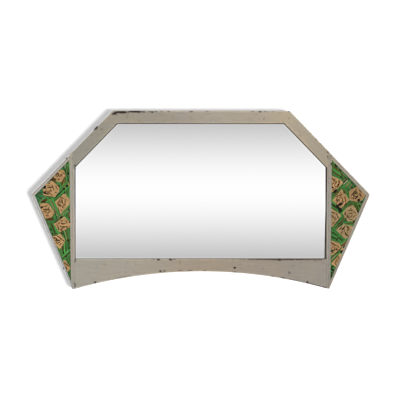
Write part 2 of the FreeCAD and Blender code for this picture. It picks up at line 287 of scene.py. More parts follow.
sight_lines = [
    (1.0, 0.0, half_sight_mm),
    (0.0, 1.0, sight_top_mm),
    (0.0, -1.0, -sight_bottom_mm),
    outer_side(inner_slope),
]
outer_lines = [(0.0, 1.0, top_corner_mm[1]), outer_side(slope), outer_side(fall)]
arch_radius_mm = (tip_mm[0] ** 2 + (arch_crown_mm - tip_mm[1]) ** 2) / (2 * (arch_crown_mm - tip_mm[1]))


def sight_distance(s, x, z):
    """How far a point lies outside the glass opening."""
    return largest(s, [beyond(s, x, z, line) for line in sight_lines])


def outer_distance(s, x, z):
    """How far a point lies outside the frame's outline, so it is negative on the frame."""
    centre = (arch_crown_mm - arch_radius_mm) * MM
    rise = s.math("SUBTRACT", z, centre)
    reach = s.math("SQRT", s.math("MULTIPLY_ADD", x, x, s.math("MULTIPLY", rise, rise)))
    below_arch = s.math("SUBTRACT", arch_radius_mm * MM, reach)
    return largest(s, [beyond(s, x, z, line) for line in outer_lines] + [below_arch])


# Painted wood: its colours, the tints that vary it and the edges beside the glass
# Chips, cracks at seams and painted shade lines are drawn in these two colours
chip_and_shade_dark = linear((34, 16, 12))
chip_crack_and_shade_brown = linear((74, 50, 34))
bare_dark = linear((74, 52, 34))
bare_light = linear((104, 78, 54))
# The default colour of the edge beside the glass, in painted shade
lip_shade = linear((46, 46, 44))
darker_paint = linear((112, 101, 84))
grey_low = (0.93, 0.93, 0.93)
grey_high = (1.05, 1.05, 1.05)
cool_low = (0.975, 0.99, 1.01)
warm_high = (1.03, 1.01, 0.98)
# Painted highlight and wear: the lift that lightens the paint along the outer edges and the glass edge
arris_highlight_and_wear = (1.34, 1.3, 1.22)
# The edge beside the glass, by side: painted shade at the top, on the slopes and on the upper right; painted
# highlight, bluish, on the upper left, and lighter at the bottom and lower down the sides
top_lip_shade = linear((28, 29, 30))
slope_lip_shade = linear((104, 108, 94))
right_slope_lip_shade = linear((40, 40, 36))
left_lip_highlight = linear((150, 164, 190))
left_low_lip = linear((136, 136, 128))
right_lip_shade = linear((30, 32, 34))
right_low_lip = linear((140, 136, 126))
bottom_lip_lit = linear((150, 146, 142))

# Where the paint's bands start and end: along edges, at seams and bead lines, and on the edge by the glass
lit_and_rubbed_mm = (2.0, 4.4)
edge_fade_mm = 1.6
seam_mm = (0.3, 1.4)
bead_mm = (0.2, 1.4)
by_glass_mm = (2.0, 2.5)
lip_depth_mm = (-16.8, -14.8)
low_lip_mm = (-120.0, -60.0)
top_middle_mm = (-10.0, 10.0)

# What the noise has to pass for a chip: at an edge, and how fast that rises with each metre away from it
chip_threshold = 0.66
chip_rise = 80.0


def spots(s, place, marks, ragged):
    """A mask of chips and of painted shade lines, each given in photograph pixels as x, y, half length and
    half height, then its tilt and how dark it is."""
    found = None
    for px, py, length_px, height_px, tilt, depth in marks:
        x_mm, z_mm = on_front(px, py)
        size = photo_scale_mm * MM
        made = s.node("ShaderNodeMapping", {"vector_type": "TEXTURE"}, Vector=place)
        made.inputs["Location"].default_value = (x_mm * MM, 0.0, z_mm * MM)
        made.inputs["Rotation"].default_value = (0.0, math.radians(tilt), 0.0)
        made.inputs["Scale"].default_value = (length_px * size, 1.0, height_px * size)
        x, _, z = s.axes(made.outputs[0])
        reach = s.math("SQRT", s.math("MULTIPLY_ADD", x, x, s.math("MULTIPLY", z, z)))
        rough = s.math("MULTIPLY_ADD", ragged, 2.2, reach)
        mark = s.band(rough, 1.95, 2.15, depth, 0.0)
        found = mark if found is None else s.math("MAXIMUM", found, mark)
    return found


def painted_wood(
    name,
    turn,
    axis,
    tints,
    marks=(),
    seams=(),
    scribe=None,
    edge=None,
    lit_slope=None,
    lip=lip_shade,
    low_lip=None,
):
    """Old matt paint over dark wood. The turn lays X along the member. Tints are places in the photograph, in
    pixels along an axis, and the paint's colour there, which on some members also carries painted light.
    Seams are lines where members meet. Scribe is a bead line's distance from the outer edge. Edge is the
    colour and width of a painted highlight along the outer edge, and lit_slope is the same on the left slope
    alone. Lip is the colour of the edge beside the glass, in painted shade or painted highlight, and low_lip
    its colour lower down."""
    s = Shader(name)
    place = s.place()
    x, y, z = folded(s, place)
    along = s.turned(place, turn)
    brushed = s.turned(place, turn, (1.0, 14.0, 26.0))
    grain = s.turned(place, turn, (1.0, 20.0, 60.0))
    broad = s.noise(place, 22.0, 3.0, 0.55)
    blotch = s.noise(along, 90.0, 3.0, 0.6)
    streak = s.noise(brushed, 24.0, 3.0, 0.6)
    fine = s.noise(grain, 40.0, 2.0, 0.6)
    ragged = s.noise(place, 420.0, 3.0, 0.6)

    index = "xz".index(axis)
    ends = [on_front(place_px, place_px)[index] * MM for place_px in (tints[0][0], tints[-1][0])]
    spread = s.node("ShaderNodeMapRange", Value=s.axes(place)[0 if axis == "x" else 2])
    s.put(spread.inputs["From Min"], ends[0])
    s.put(spread.inputs["From Max"], ends[1])
    stops = [((p - tints[0][0]) / (tints[-1][0] - tints[0][0]), colour) for p, colour in tints]
    paint = s.ramp(spread.outputs[0], stops)
    paint = s.mix(1.0, paint, s.mix(s.band(streak, 0.34, 0.66), grey_low, grey_high), "MULTIPLY")
    paint = s.mix(1.0, paint, s.mix(s.band(broad, 0.36, 0.64), cool_low, warm_high), "MULTIPLY")
    paint = s.mix(s.band(blotch, 0.58, 0.76, 0.0, 0.4), paint, darker_paint)
    paint = s.mix(s.band(fine, 0.3, 0.7, 0.16, 0.0), paint, darker_paint)

    inside = s.math("MULTIPLY", outer_distance(s, x, z), -1.0)
    sight = sight_distance(s, x, z)
    nearest = s.math("MINIMUM", inside, sight)
    # Painted highlight and wear: the paint is lighter in patches near the outer edges and the glass edge
    lit_and_rubbed = s.math("MULTIPLY", s.fade(nearest, lit_and_rubbed_mm, 0.85), s.band(blotch, 0.3, 0.6, 0.4, 1.0))
    paint = s.mix(lit_and_rubbed, paint, s.mix(1.0, paint, arris_highlight_and_wear, "MULTIPLY"))
    # Painted highlight along the outer edge, and along the left slope's outer edge
    if edge:
        colour, reach_mm = edge
        paint = s.mix(s.fade(inside, (reach_mm, reach_mm + edge_fade_mm), 0.9), paint, linear(colour))
    if lit_slope:
        colour, reach_mm = lit_slope
        gap = s.math("MULTIPLY", beyond(s, x, z, outer_side(slope)), -1.0)
        left = s.fade(s.axes(place)[0], top_middle_mm, 0.9)
        lit = s.math("MULTIPLY", left, s.fade(gap, (reach_mm, reach_mm + edge_fade_mm)))
        paint = s.mix(lit, paint, linear(colour))
    threshold = s.math("MULTIPLY_ADD", s.math("ABSOLUTE", nearest), chip_rise, chip_threshold)
    chipped_and_shaded = s.band(s.math("SUBTRACT", s.noise(place, 190.0, 4.0, 0.65), threshold), 0.0, 0.03, 0.0, 0.8)
    # The marks add chips and painted shade lines
    if marks:
        chipped_and_shaded = s.math("MAXIMUM", chipped_and_shaded, spots(s, place, marks, ragged))
    for line, strength in seams:
        gap = s.math("ABSOLUTE", beyond(s, x, z, line))
        crack = s.math("MULTIPLY", s.fade(gap, seam_mm, strength), s.band(blotch, 0.3, 0.6))
        paint = s.mix(crack, paint, chip_crack_and_shade_brown)
    groove = 0.0
    if scribe:
        gap = s.math("ABSOLUTE", s.math("SUBTRACT", inside, scribe * MM))
        groove = s.fade(gap, bead_mm)
        # The bead line is drawn darker, in the same colour as the blotches
        paint = s.mix(s.math("MULTIPLY", groove, s.band(streak, 0.2, 0.7, 0.75, 0.35)), paint, darker_paint)
    paint = s.mix(chipped_and_shaded, paint, s.mix(s.band(ragged, 0.5, 0.72), chip_and_shade_dark, chip_crack_and_shade_brown))

    _, ny, _ = s.axes(s.facing())
    upright_face = s.band(s.math("ABSOLUTE", ny), 0.3, 0.5, 1.0, 0.0)
    back = s.band(ny, 0.4, 0.6)
    if low_lip:
        lip = s.mix(s.fade(z, low_lip_mm, 0.0, 1.0), low_lip, lip)
    # Painted shade and highlight on the edge beside the glass, on its part nearer the glass
    beside_glass = s.math("MULTIPLY", s.fade(sight, by_glass_mm), s.fade(y, lip_depth_mm, 0.0, 1.0))
    paint = s.mix(s.math("MULTIPLY", upright_face, beside_glass), paint, lip)
    paint = s.mix(back, paint, s.mix(s.band(fine, 0.35, 0.7), bare_dark, bare_light))
    height = s.math("MULTIPLY_ADD", streak, 0.5, s.math("MULTIPLY", chipped_and_shaded, -1.2))
    height = s.math("MULTIPLY_ADD", fine, 0.3, height)
    height = s.math("MULTIPLY_ADD", groove, -1.6, height)
    return s.surface(
        Base_Color=paint,
        Roughness=s.band(blotch, 0.3, 0.7, 0.56, 0.7),
        Specular_IOR_Level=0.3,
        Normal=s.bump(height, 0.4, 0.6),
    )


slope_turn = math.degrees(math.atan2(-slope[1][1], slope[1][0]))
fall_turn = math.degrees(math.atan2(-fall[1][1], fall[1][0]))
lit_edge = ((232, 233, 235), 0.9)
seam_level = ((0.0, 1.0, sight_top_mm), 0.3)
seam_stile = ((1.0, 0.0, half_sight_mm + stile_housing_mm), 0.35)
seam_foot = ((1.0, 0.0, half_sight_mm), 0.8)

# Chips and specks, with painted shade lines beside the glass and along the arch's lower edge, in photograph
# pixels: x, y, half length, half height, tilt in degrees and darkness
top_marks = [
    (114.9, 113.3, 2.4, 1.5, 0, 1.0), (112.7, 114.4, 0.9, 1.3, 20, 0.6), (120.8, 112.2, 7.3, 1.3, 0, 1.0),
    (135.2, 111.5, 7.0, 1.3, 0, 1.0), (143.5, 111.6, 2.6, 0.9, 0, 0.7), (149.5, 111.5, 1.8, 0.6, 0, 0.6),
    (152.3, 112.0, 1.3, 0.8, 0, 0.85), (156.0, 111.4, 1.9, 0.7, 0, 0.65), (161.5, 111.3, 1.2, 0.6, 0, 0.55),
    (168.8, 111.4, 1.4, 0.7, 0, 0.75), (191.2, 111.5, 1.8, 0.8, 0, 0.8), (207.0, 111.4, 1.8, 0.6, 0, 0.55),
    (252.7, 111.4, 1.2, 0.7, 0, 0.6), (260.0, 111.5, 1.5, 0.9, 0, 0.95), (265.4, 111.4, 1.6, 0.6, 0, 0.55),
    (273.5, 111.3, 0.9, 0.5, 0, 0.5), (288.6, 111.4, 1.2, 0.7, 0, 0.6), (117.5, 115.4, 0.7, 0.7, 0, 0.5),
    (139.5, 121.3, 0.7, 0.6, 0, 0.5), (263.8, 119.2, 0.7, 0.7, 0, 0.45), (264.6, 117.4, 0.6, 0.8, 0, 0.3),
    (258.7, 119.0, 0.6, 0.8, 0, 0.3), (289.0, 118.4, 0.8, 0.7, 0, 0.4),
]
# The long thin marks along the glass edge near y 259.6 and along the arch's lower edge are painted shade
# lines
bottom_marks = [
    (158.5, 259.7, 1.5, 0.9, 0, 1.0), (170.5, 259.7, 1.5, 0.9, 0, 1.0),
    (285.0, 259.64, 46.0, 0.52, 0.1, 1.0), (174.4, 259.5, 1.4, 0.6, 0, 0.5),
    (153.6, 259.4, 1.2, 0.5, 0, 0.5), (279.5, 259.9, 2.8, 1.0, 0, 0.95), (95.2, 282.2, 1.4, 0.9, -12, 1.0),
    (122.0, 277.2, 9.0, 0.5, -10, 0.4), (160.5, 271.2, 1.5, 0.8, 0, 0.95), (164.5, 271.0, 1.1, 0.7, 0, 0.9),
    (180.0, 270.4, 2.8, 0.5, 0, 0.5), (190.0, 270.3, 2.6, 0.6, 0, 0.6), (204.6, 270.5, 1.8, 0.6, 0, 0.5),
    (234.0, 272.0, 2.2, 0.6, 0, 0.6), (272.5, 276.4, 2.2, 0.7, 10, 0.5), (282.8, 278.2, 2.6, 0.9, 12, 0.9),
    (294.0, 280.4, 13.0, 0.6, 12.2, 0.75), (307.4, 282.6, 1.3, 1.7, 0, 1.0),
    (315.5, 285.2, 13.0, 0.7, 14.4, 0.9), (324.5, 287.4, 2.6, 0.9, 15, 0.95),
    (234.8, 267.8, 1.35, 1.35, 0, 1.0), (289.3, 272.8, 1.3, 1.2, 0, 0.5), (75.2, 260.4, 0.9, 1.9, 0, 0.65),
    (75.3, 285.0, 0.7, 2.2, 0, 0.6),
]
# The first mark is painted shade at the glass's upper left corner
left_slope_marks = [
    (75.0, 165.9, 0.85, 1.3, 0, 0.9), (96.2, 128.0, 2.8, 1.3, -45, 1.0), (101.6, 129.4, 0.9, 0.9, 0, 0.45),
    (105.8, 121.6, 1.2, 0.9, -45, 0.35), (70.2, 154.2, 2.4, 1.0, -45, 0.8),
    (66.2, 158.3, 1.4, 0.9, -45, 0.8), (91.4, 135.4, 0.9, 0.9, 0, 0.25),
]
right_slope_marks = [
    (327.6, 152.2, 1.1, 0.8, 45, 0.6), (327.8, 156.8, 1.1, 1.0, 0, 0.75), (316.0, 139.4, 1.6, 0.8, 45, 0.4),
    (299.6, 135.4, 1.0, 0.8, 0, 0.3), (307.6, 134.6, 0.9, 0.7, 0, 0.25),
]
# The long thin mark at x 326.7 is a painted shade line beside the glass
right_stile_marks = [
    (330.8, 156.2, 0.9, 0.9, 0, 0.6), (331.4, 164.0, 0.8, 1.5, 0, 0.95),
    (326.7, 180.0, 0.42, 27.0, 0.5, 1.0),
]
# The first two marks are painted shade lines beside the glass
left_stile_marks = [
    (74.75, 166.8, 0.8, 3.4, 0, 1.0), (74.7, 188.0, 0.45, 26.0, 0, 0.35), (75.0, 260.8, 0.8, 2.0, 0, 0.6),
    (75.0, 283.8, 0.9, 1.7, 0, 0.8), (75.0, 286.4, 0.9, 1.2, 0, 0.4),
]
left_strip_marks = [(66.4, 158.4, 1.2, 0.9, -45, 0.8)]
left_foot_marks = [(63.5, 268.6, 0.45, 1.9, 0, 0.9)]

# How each member is painted. The left wing's strips are tinted lighter and greyer than the right wing's:
# painted light, as it falls on them.
members = {
    "top_rail": dict(
        turn=0,
        axis="x",
        tints=[
            (112, (158, 149, 132)),
            (165, (157, 148, 134)),
            (210, (168, 159, 145)),
            (288, (179, 165, 142)),
        ],
        marks=top_marks,
        edge=((184, 172, 152), 2.8),
        lit_slope=lit_edge,
        lip=top_lip_shade,
    ),
    "bottom_rail": dict(
        turn=0,
        axis="x",
        tints=[(78, (163, 159, 147)), (140, (167, 158, 144)), (200, (163, 148, 129)), (322, (152, 145, 135))],
        lip=bottom_lip_lit,
        marks=bottom_marks,
        seams=[seam_foot],
    ),
    "left_slope_rail": dict(
        turn=-slope_turn,
        axis="x",
        tints=[(70, (149, 145, 131)), (98, (149, 145, 131)), (115, (158, 150, 134))],
        marks=left_slope_marks,
        seams=[seam_level],
        edge=lit_edge,
        lip=slope_lip_shade,
    ),
    "right_slope_rail": dict(
        turn=slope_turn,
        axis="x",
        tints=[(288, (179, 166, 146)), (332, (163, 152, 132))],
        marks=right_slope_marks,
        seams=[seam_level],
        lip=right_slope_lip_shade,
    ),
    "left_stile": dict(
        turn=90,
        axis="z",
        tints=[(165, (166, 160, 144)), (215, (171, 162, 148)), (290, (162, 156, 144))],
        marks=left_stile_marks,
        seams=[seam_stile],
        lip=left_lip_highlight,
        low_lip=left_low_lip,
    ),
    "right_stile": dict(
        turn=90,
        axis="z",
        tints=[
            (150, (162, 153, 137)),
            (172, (157, 150, 138)),
            (215, (157, 151, 141)),
            (290, (149, 142, 131)),
        ],
        marks=right_stile_marks,
        seams=[seam_stile],
        lip=right_lip_shade,
        low_lip=right_low_lip,
    ),
    "left_wing_upper_strip": dict(
        turn=-slope_turn,
        axis="x",
        tints=[(30, (178, 176, 172)), (68, (172, 168, 160))],
        marks=left_strip_marks,
        scribe=4.4,
        edge=lit_edge,
    ),
    "right_wing_upper_strip": dict(
        turn=slope_turn,
        axis="x",
        tints=[(332, (168, 158, 140)), (369, (162, 153, 137))],
        scribe=4.4,
        edge=((182, 174, 158), 2.6),
    ),
    "left_wing_lower_strip": dict(
        turn=-fall_turn,
        axis="z",
        tints=[(195, (190, 188, 186)), (225, (184, 183, 181)), (288, (176, 176, 177))],
        marks=left_foot_marks,
        scribe=3.6,
        edge=((226, 227, 229), 0.9),
    ),
    "right_wing_lower_strip": dict(
        turn=fall_turn,
        axis="z",
        tints=[(195, (162, 153, 138)), (288, (156, 148, 137))],
        scribe=3.6,
        edge=((174, 167, 154), 2.2),
    ),
}


def dress(name, material):
    """Gives a CAD node its material."""
    mesh = nodes[name].data
    mesh.materials.clear()
    mesh.materials.append(material)


for name, look in members.items():
    dress(name, painted_wood("paint_" + name, **look))


# The glass. The dark line round it is a painted reflection of the shaded lip, laid on the glass as a rim that
# does not mirror: blackest at the upper left and lighter along the middle of the top. A width that changes
# over the height is given as the span of heights, then the width below it and over it.
silver = linear((254, 254, 254))
silver_speck = linear((229, 230, 230))
side_rim_shade = linear((36, 36, 34))
bevel_end = linear((150, 146, 136))
glass_back = linear((96, 84, 72))
upper_rim_mm = ((186.0, 192.0), -0.2, 1.2)
right_rim_mm = ((-200.0, 40.0), 5.4, 1.2)
right_cover_mm = ((-200.0, -70.0), 2.1, -0.4)
rim_soft_mm = 0.4
cover_soft_mm = 0.3
rim_ramp_half_mm = 250.0
rim_change_mm = (180.0, 186.0)
upper_rim_reflection_stops = [
    (0.0, (6, 7, 8)),
    (0.2, (34, 38, 46)),
    (0.45, (150, 152, 150)),
    (0.7, (144, 138, 130)),
    (1.0, (84, 82, 74)),
]


def silvered_glass():
    s = Shader("silvered_glass")
    place = s.place()
    x, y, z = folded(s, place)
    _, ny, _ = s.axes(s.facing())
    real_x, _, _ = s.axes(place)
    gap = s.math("MULTIPLY", sight_distance(s, x, z), -1.0)
    right_gap = s.math("SUBTRACT", half_sight_mm * MM, real_x)
    foxing = s.noise(place, 55.0, 4.0, 0.6)
    specks = s.noise(place, 900.0, 2.0, 0.5)
    uneven = s.band(foxing, 0.2, 0.8, 0.93, 1.07)

    def within(distance, widths_mm, soft_mm):
        span_mm, low_mm, high_mm = widths_mm
        reach = s.math("MULTIPLY", s.fade(z, span_mm, low_mm * MM, high_mm * MM), uneven)
        return s.fade(s.math("SUBTRACT", distance, reach), (-soft_mm, soft_mm))

    upper = within(gap, upper_rim_mm, rim_soft_mm)
    edge = s.math("MAXIMUM", upper, within(right_gap, right_rim_mm, rim_soft_mm))
    tone = s.mix(s.band(specks, 0.62, 0.8, 0.0, 0.06), silver, silver_speck)
    half = rim_ramp_half_mm * MM
    spread = s.node("ShaderNodeMapRange", Value=real_x, From_Min=-half, From_Max=half).outputs[0]
    # Painted reflection of the shaded lip: dark at the sides and graded along the top
    rim = s.mix(s.fade(z, rim_change_mm, 0.0, 1.0), side_rim_shade, s.ramp(spread, upper_rim_reflection_stops))
    tone = s.mix(edge, tone, rim)
    tone = s.mix(within(right_gap, right_cover_mm, cover_soft_mm), tone, bevel_end)
    back = s.band(ny, 0.4, 0.6)
    tone = s.mix(back, tone, glass_back)
    return s.surface(
        Base_Color=tone,
        Metallic=s.math("MULTIPLY", s.math("SUBTRACT", 1.0, edge), s.math("SUBTRACT", 1.0, back)),
        Roughness=s.band(foxing, 0.3, 0.8, 0.0, 0.02),
    )


dress("mirror_glass", silvered_glass())


# Plain woods, card, rubber and metals of the back
ply_layer_mm = 1.7
ply_line_mm = (0.4, 1.2)
wood_stain = linear((60, 48, 38))


def wood(name, turn, dark, light, ply=False):
    s = Shader(name)
    place = s.place()
    long_grain = s.turned(place, turn, (1.0, 12.0, 22.0))
    fibre = s.turned(place, turn, (1.0, 40.0, 90.0))
    rings = s.noise(long_grain, 9.0, 3.0, 0.55, 1.2)
    lines = s.noise(fibre, 30.0, 3.0, 0.65)
    stain = s.noise(place, 8.0, 3.0, 0.55)
    tone = s.mix(s.band(rings, 0.35, 0.65), linear(dark), linear(light))
    tone = s.mix(s.band(lines, 0.45, 0.75, 0.0, 0.55), tone, linear(dark))
    tone = s.mix(s.band(stain, 0.5, 0.75, 0.0, 0.35), tone, wood_stain)
    if ply:
        _, y, _ = s.axes(place)
        layers = s.math("PINGPONG", y, ply_layer_mm * MM)
        tone = s.mix(s.fade(layers, ply_line_mm, 0.3), tone, linear(dark))
    return s.surface(
        Base_Color=tone,
        Roughness=s.band(lines, 0.3, 0.7, 0.6, 0.8),
        Specular_IOR_Level=0.3,
        Normal=s.bump(lines, 0.3, 0.5),
    )


def card():
    s = Shader("packing_card")
    place = s.place()
    fibre = s.noise(place, 600.0, 4.0, 0.7)
    blotch = s.noise(place, 30.0, 3.0, 0.6)
    tone = s.mix(s.band(fibre, 0.3, 0.7), linear((142, 112, 78)), linear((170, 140, 104)))
    tone = s.mix(s.band(blotch, 0.5, 0.8, 0.0, 0.5), tone, linear((110, 86, 60)))
    rough = s.band(fibre, 0.3, 0.7, 0.75, 0.9)
    return s.surface(Base_Color=tone, Roughness=rough, Normal=s.bump(fibre, 0.1, 0.4))


def metal(name, dark, light, tarnish, roughness):
    """Handled metal, with fine scratches and a duller bloom in patches."""
    s = Shader(name)
    place = s.place()
    cloud = s.noise(place, 150.0, 4.0, 0.6)
    scratch = s.noise(s.turned(place, 25, (1.0, 30.0, 60.0)), 90.0, 2.0, 0.6)
    tone = s.mix(s.band(cloud, 0.35, 0.65), linear(dark), linear(light))
    tone = s.mix(s.band(s.noise(place, 60.0, 4.0, 0.65), 0.5, 0.7, 0.0, 0.7), tone, linear(tarnish))
    return s.surface(
        Base_Color=tone,
        Metallic=s.band(cloud, 0.3, 0.8, 1.0, 0.75),
        Roughness=s.band(scratch, 0.3, 0.7, roughness, roughness + 0.16),
        Normal=s.bump(scratch, 0.05, 0.35),
    )


def rubber():
    s = Shader("pad_rubber")
    place = s.place()
    dust = s.noise(place, 240.0, 4.0, 0.65)
    tone = s.mix(s.band(dust, 0.45, 0.75), linear((34, 33, 32)), linear((72, 68, 62)))
    rough = s.band(dust, 0.3, 0.7, 0.6, 0.85)
    return s.surface(Base_Color=tone, Roughness=rough, Normal=s.bump(dust, 0.1, 0.4))


dress("backboard", wood("plywood_back", 90, (112, 82, 54), (150, 118, 84), ply=True))
dress("packing_sheet", card())
batten_wood = wood("batten_wood", 45, (104, 74, 48), (146, 110, 76))
brass = metal("aged_brass", (148, 116, 66), (186, 152, 92), (92, 72, 46), 0.34)
screw_brass = metal("screw_brass", (138, 110, 64), (172, 140, 84), (84, 66, 44), 0.38)
ring_steel = metal("ring_steel", (128, 126, 122), (168, 166, 162), (86, 72, 58), 0.3)
nail_steel = metal("nail_steel", (74, 66, 58), (104, 94, 84), (64, 44, 30), 0.5)
pad_rubber = rubber()
for side in ("left", "right"):
    dress(side + "_glue_blocks", batten_wood)
    dress(side + "_hanger_strap", brass)
    dress(side + "_hanger_ring", ring_steel)
    dress(side + "_wall_pad", pad_rubber)
for name in nodes:
    if name.endswith("_turn_button"):
        dress(name, brass)
dress("button_screws", screw_brass)
dress("hanger_screws", screw_brass)
for name in ("lap_nails", "face_nails", "strip_pins"):
    dress(name, nail_steel)

# The carving, in photograph pixels. A leaf is a blade: its two ends, half width and tone, then the tone of
# its midrib and its bow to one side, if it has them. A rose is a tone, how light it is and the corners of
# its outline. Hollows and lines are strokes, in groups of one tone, each with its two ends and half width.
tones = {
    "green": (68, 132, 66),
    "bright": (76, 148, 71),
    "deep": (44, 96, 46),
    "teal": (40, 130, 80),
    "pale": (112, 142, 102),
    "lime": (84, 134, 50),
    "olive": (92, 84, 38),
    "umber": (82, 56, 20),
    "tan": (192, 153, 107),
    "sand": (176, 148, 108),
    "gold": (180, 142, 58),
    "cream": (190, 172, 140),
    "pink": (164, 126, 100),
    "rust": (100, 56, 26),
    "brown": (38, 22, 10),
    "red": (70, 32, 22),
    "black": (14, 10, 10),
    "shade": (62, 46, 22),
    "ground": (66, 106, 52),
    "outline": (38, 42, 20),
    "rim": (214, 170, 128),
}

left_leaves_px = [
    (66.8, 163.2, 67.2, 175.0, 1.3, "green", "rust"), (65.8, 162.8, 64.4, 169.4, 0.9, "pale", None, 0.2),
    (69.2, 160.0, 68.5, 173.0, 1.0, "bright"), (61.0, 167.2, 64.8, 172.6, 0.7, "teal"),
    (69.6, 171.0, 69.0, 181.5, 0.9, "green"), (66.3, 175.6, 69.4, 184.0, 1.2, "green"),
    (65.8, 175.0, 61.6, 182.6, 1.6, "green", "rust"), (57.0, 180.6, 58.9, 185.4, 0.6, "bright"),
    (53.8, 181.0, 57.8, 188.0, 0.8, "olive", "brown"), (64.9, 179.6, 62.2, 186.4, 0.9, "olive", "gold"),
    (60.0, 180.6, 59.4, 191.0, 1.0, "bright", "deep", -0.9),
    (69.8, 179.4, 60.2, 191.0, 1.3, "green", "rust", 0.3), (64.8, 187.2, 55.6, 196.2, 0.9, "green"),
    (70.4, 185.2, 54.0, 199.0, 1.3, "bright"), (69.8, 188.0, 69.2, 199.4, 1.0, "green"),
    (64.8, 192.2, 69.0, 201.0, 1.2, "green", "pink"), (34.4, 194.8, 45.0, 186.2, 1.5, "teal", "deep"),
    (34.6, 195.0, 45.0, 190.8, 1.4, "teal", "deep"), (34.8, 195.4, 44.8, 195.2, 1.4, "teal", "deep"),
    (35.2, 195.0, 41.0, 202.0, 1.5, "teal", "deep"), (37.6, 204.0, 47.0, 195.4, 1.2, "green", "shade"),
    (37.6, 204.4, 44.2, 199.0, 1.1, "bright", "deep"),
    (40.4, 200.6, 56.6, 197.6, 1.3, "bright", "deep", 1.4), (47.2, 197.0, 59.4, 218.6, 1.2, "green"),
    (52.0, 197.0, 60.4, 217.2, 1.3, "bright"), (59.0, 212.6, 53.4, 221.6, 2.2, "green", "deep"),
    (70.4, 204.4, 60.2, 215.4, 1.0, "green"), (70.4, 209.2, 60.8, 218.0, 1.2, "green"),
    (46.2, 221.4, 56.6, 221.0, 1.0, "green", "deep", 0.2), (64.0, 215.2, 70.4, 222.0, 1.0, "green"),
    (68.8, 211.6, 70.0, 218.6, 0.9, "olive", "pink"), (47.6, 222.0, 54.5, 236.2, 1.3, "green", "olive"),
    (53.2, 222.6, 60.6, 236.8, 1.5, "bright"), (61.2, 229.0, 67.4, 243.6, 1.0, "green"),
    (64.0, 228.4, 67.4, 241.0, 1.0, "bright", "pink"), (68.8, 226.6, 69.2, 243.0, 1.2, "green", "shade"),
    (56.2, 242.2, 62.6, 258.4, 1.1, "green", "rust"), (61.2, 244.4, 62.6, 255.0, 0.8, "green"),
    (64.2, 240.6, 65.7, 256.8, 1.2, "bright"), (67.4, 240.8, 68.6, 255.0, 1.2, "green", "deep"),
    (61.8, 257.4, 70.6, 248.6, 1.1, "bright"), (62.0, 261.4, 70.6, 253.2, 1.1, "green"),
    (66.4, 256.0, 70.2, 268.8, 1.4, "green", "rust"), (67.2, 273.0, 70.4, 267.6, 0.9, "bright"),
    (68.0, 270.6, 69.8, 278.6, 1.1, "green", "brown"),
]
left_roses_px = [
    ("tan", 0.97, [
        (58.4, 169.2), (63.6, 170.6), (65.4, 175.4), (62.2, 180.6), (59.6, 182.4), (53.6, 179.6),
        (51.8, 175.6),
    ]),
    ("tan", 0.98, [
        (52.0, 180.7), (56.5, 184.5), (59.4, 188.6), (57.8, 192.5), (55.0, 196.8), (43.4, 195.0),
        (43.0, 189.0), (45.5, 183.4),
    ]),
    ("tan", 1.04, [(64.2, 193.8), (70.4, 200.0), (70.2, 203.2), (60.4, 214.0), (55.2, 201.8)]),
    ("tan", 1.00, [
        (40.2, 203.8), (48.2, 203.1), (54.4, 212.4), (51.6, 217.3), (45.6, 218.6), (40.8, 208.5),
    ]),
    ("tan", 1.03, [
        (64.2, 216.8), (70.2, 222.6), (70.0, 227.6), (64.5, 230.0), (60.2, 232.6), (54.0, 224.2),
    ]),
    ("tan", 1.15, [
        (52.6, 236.8), (60.6, 234.0), (65.1, 240.4), (63.0, 245.0), (60.0, 248.8), (54.4, 243.4),
    ]),
    ("tan", 1.12, [(62.8, 261.6), (65.3, 260.2), (70.4, 267.8), (67.6, 271.8), (65.0, 267.0)]),
]
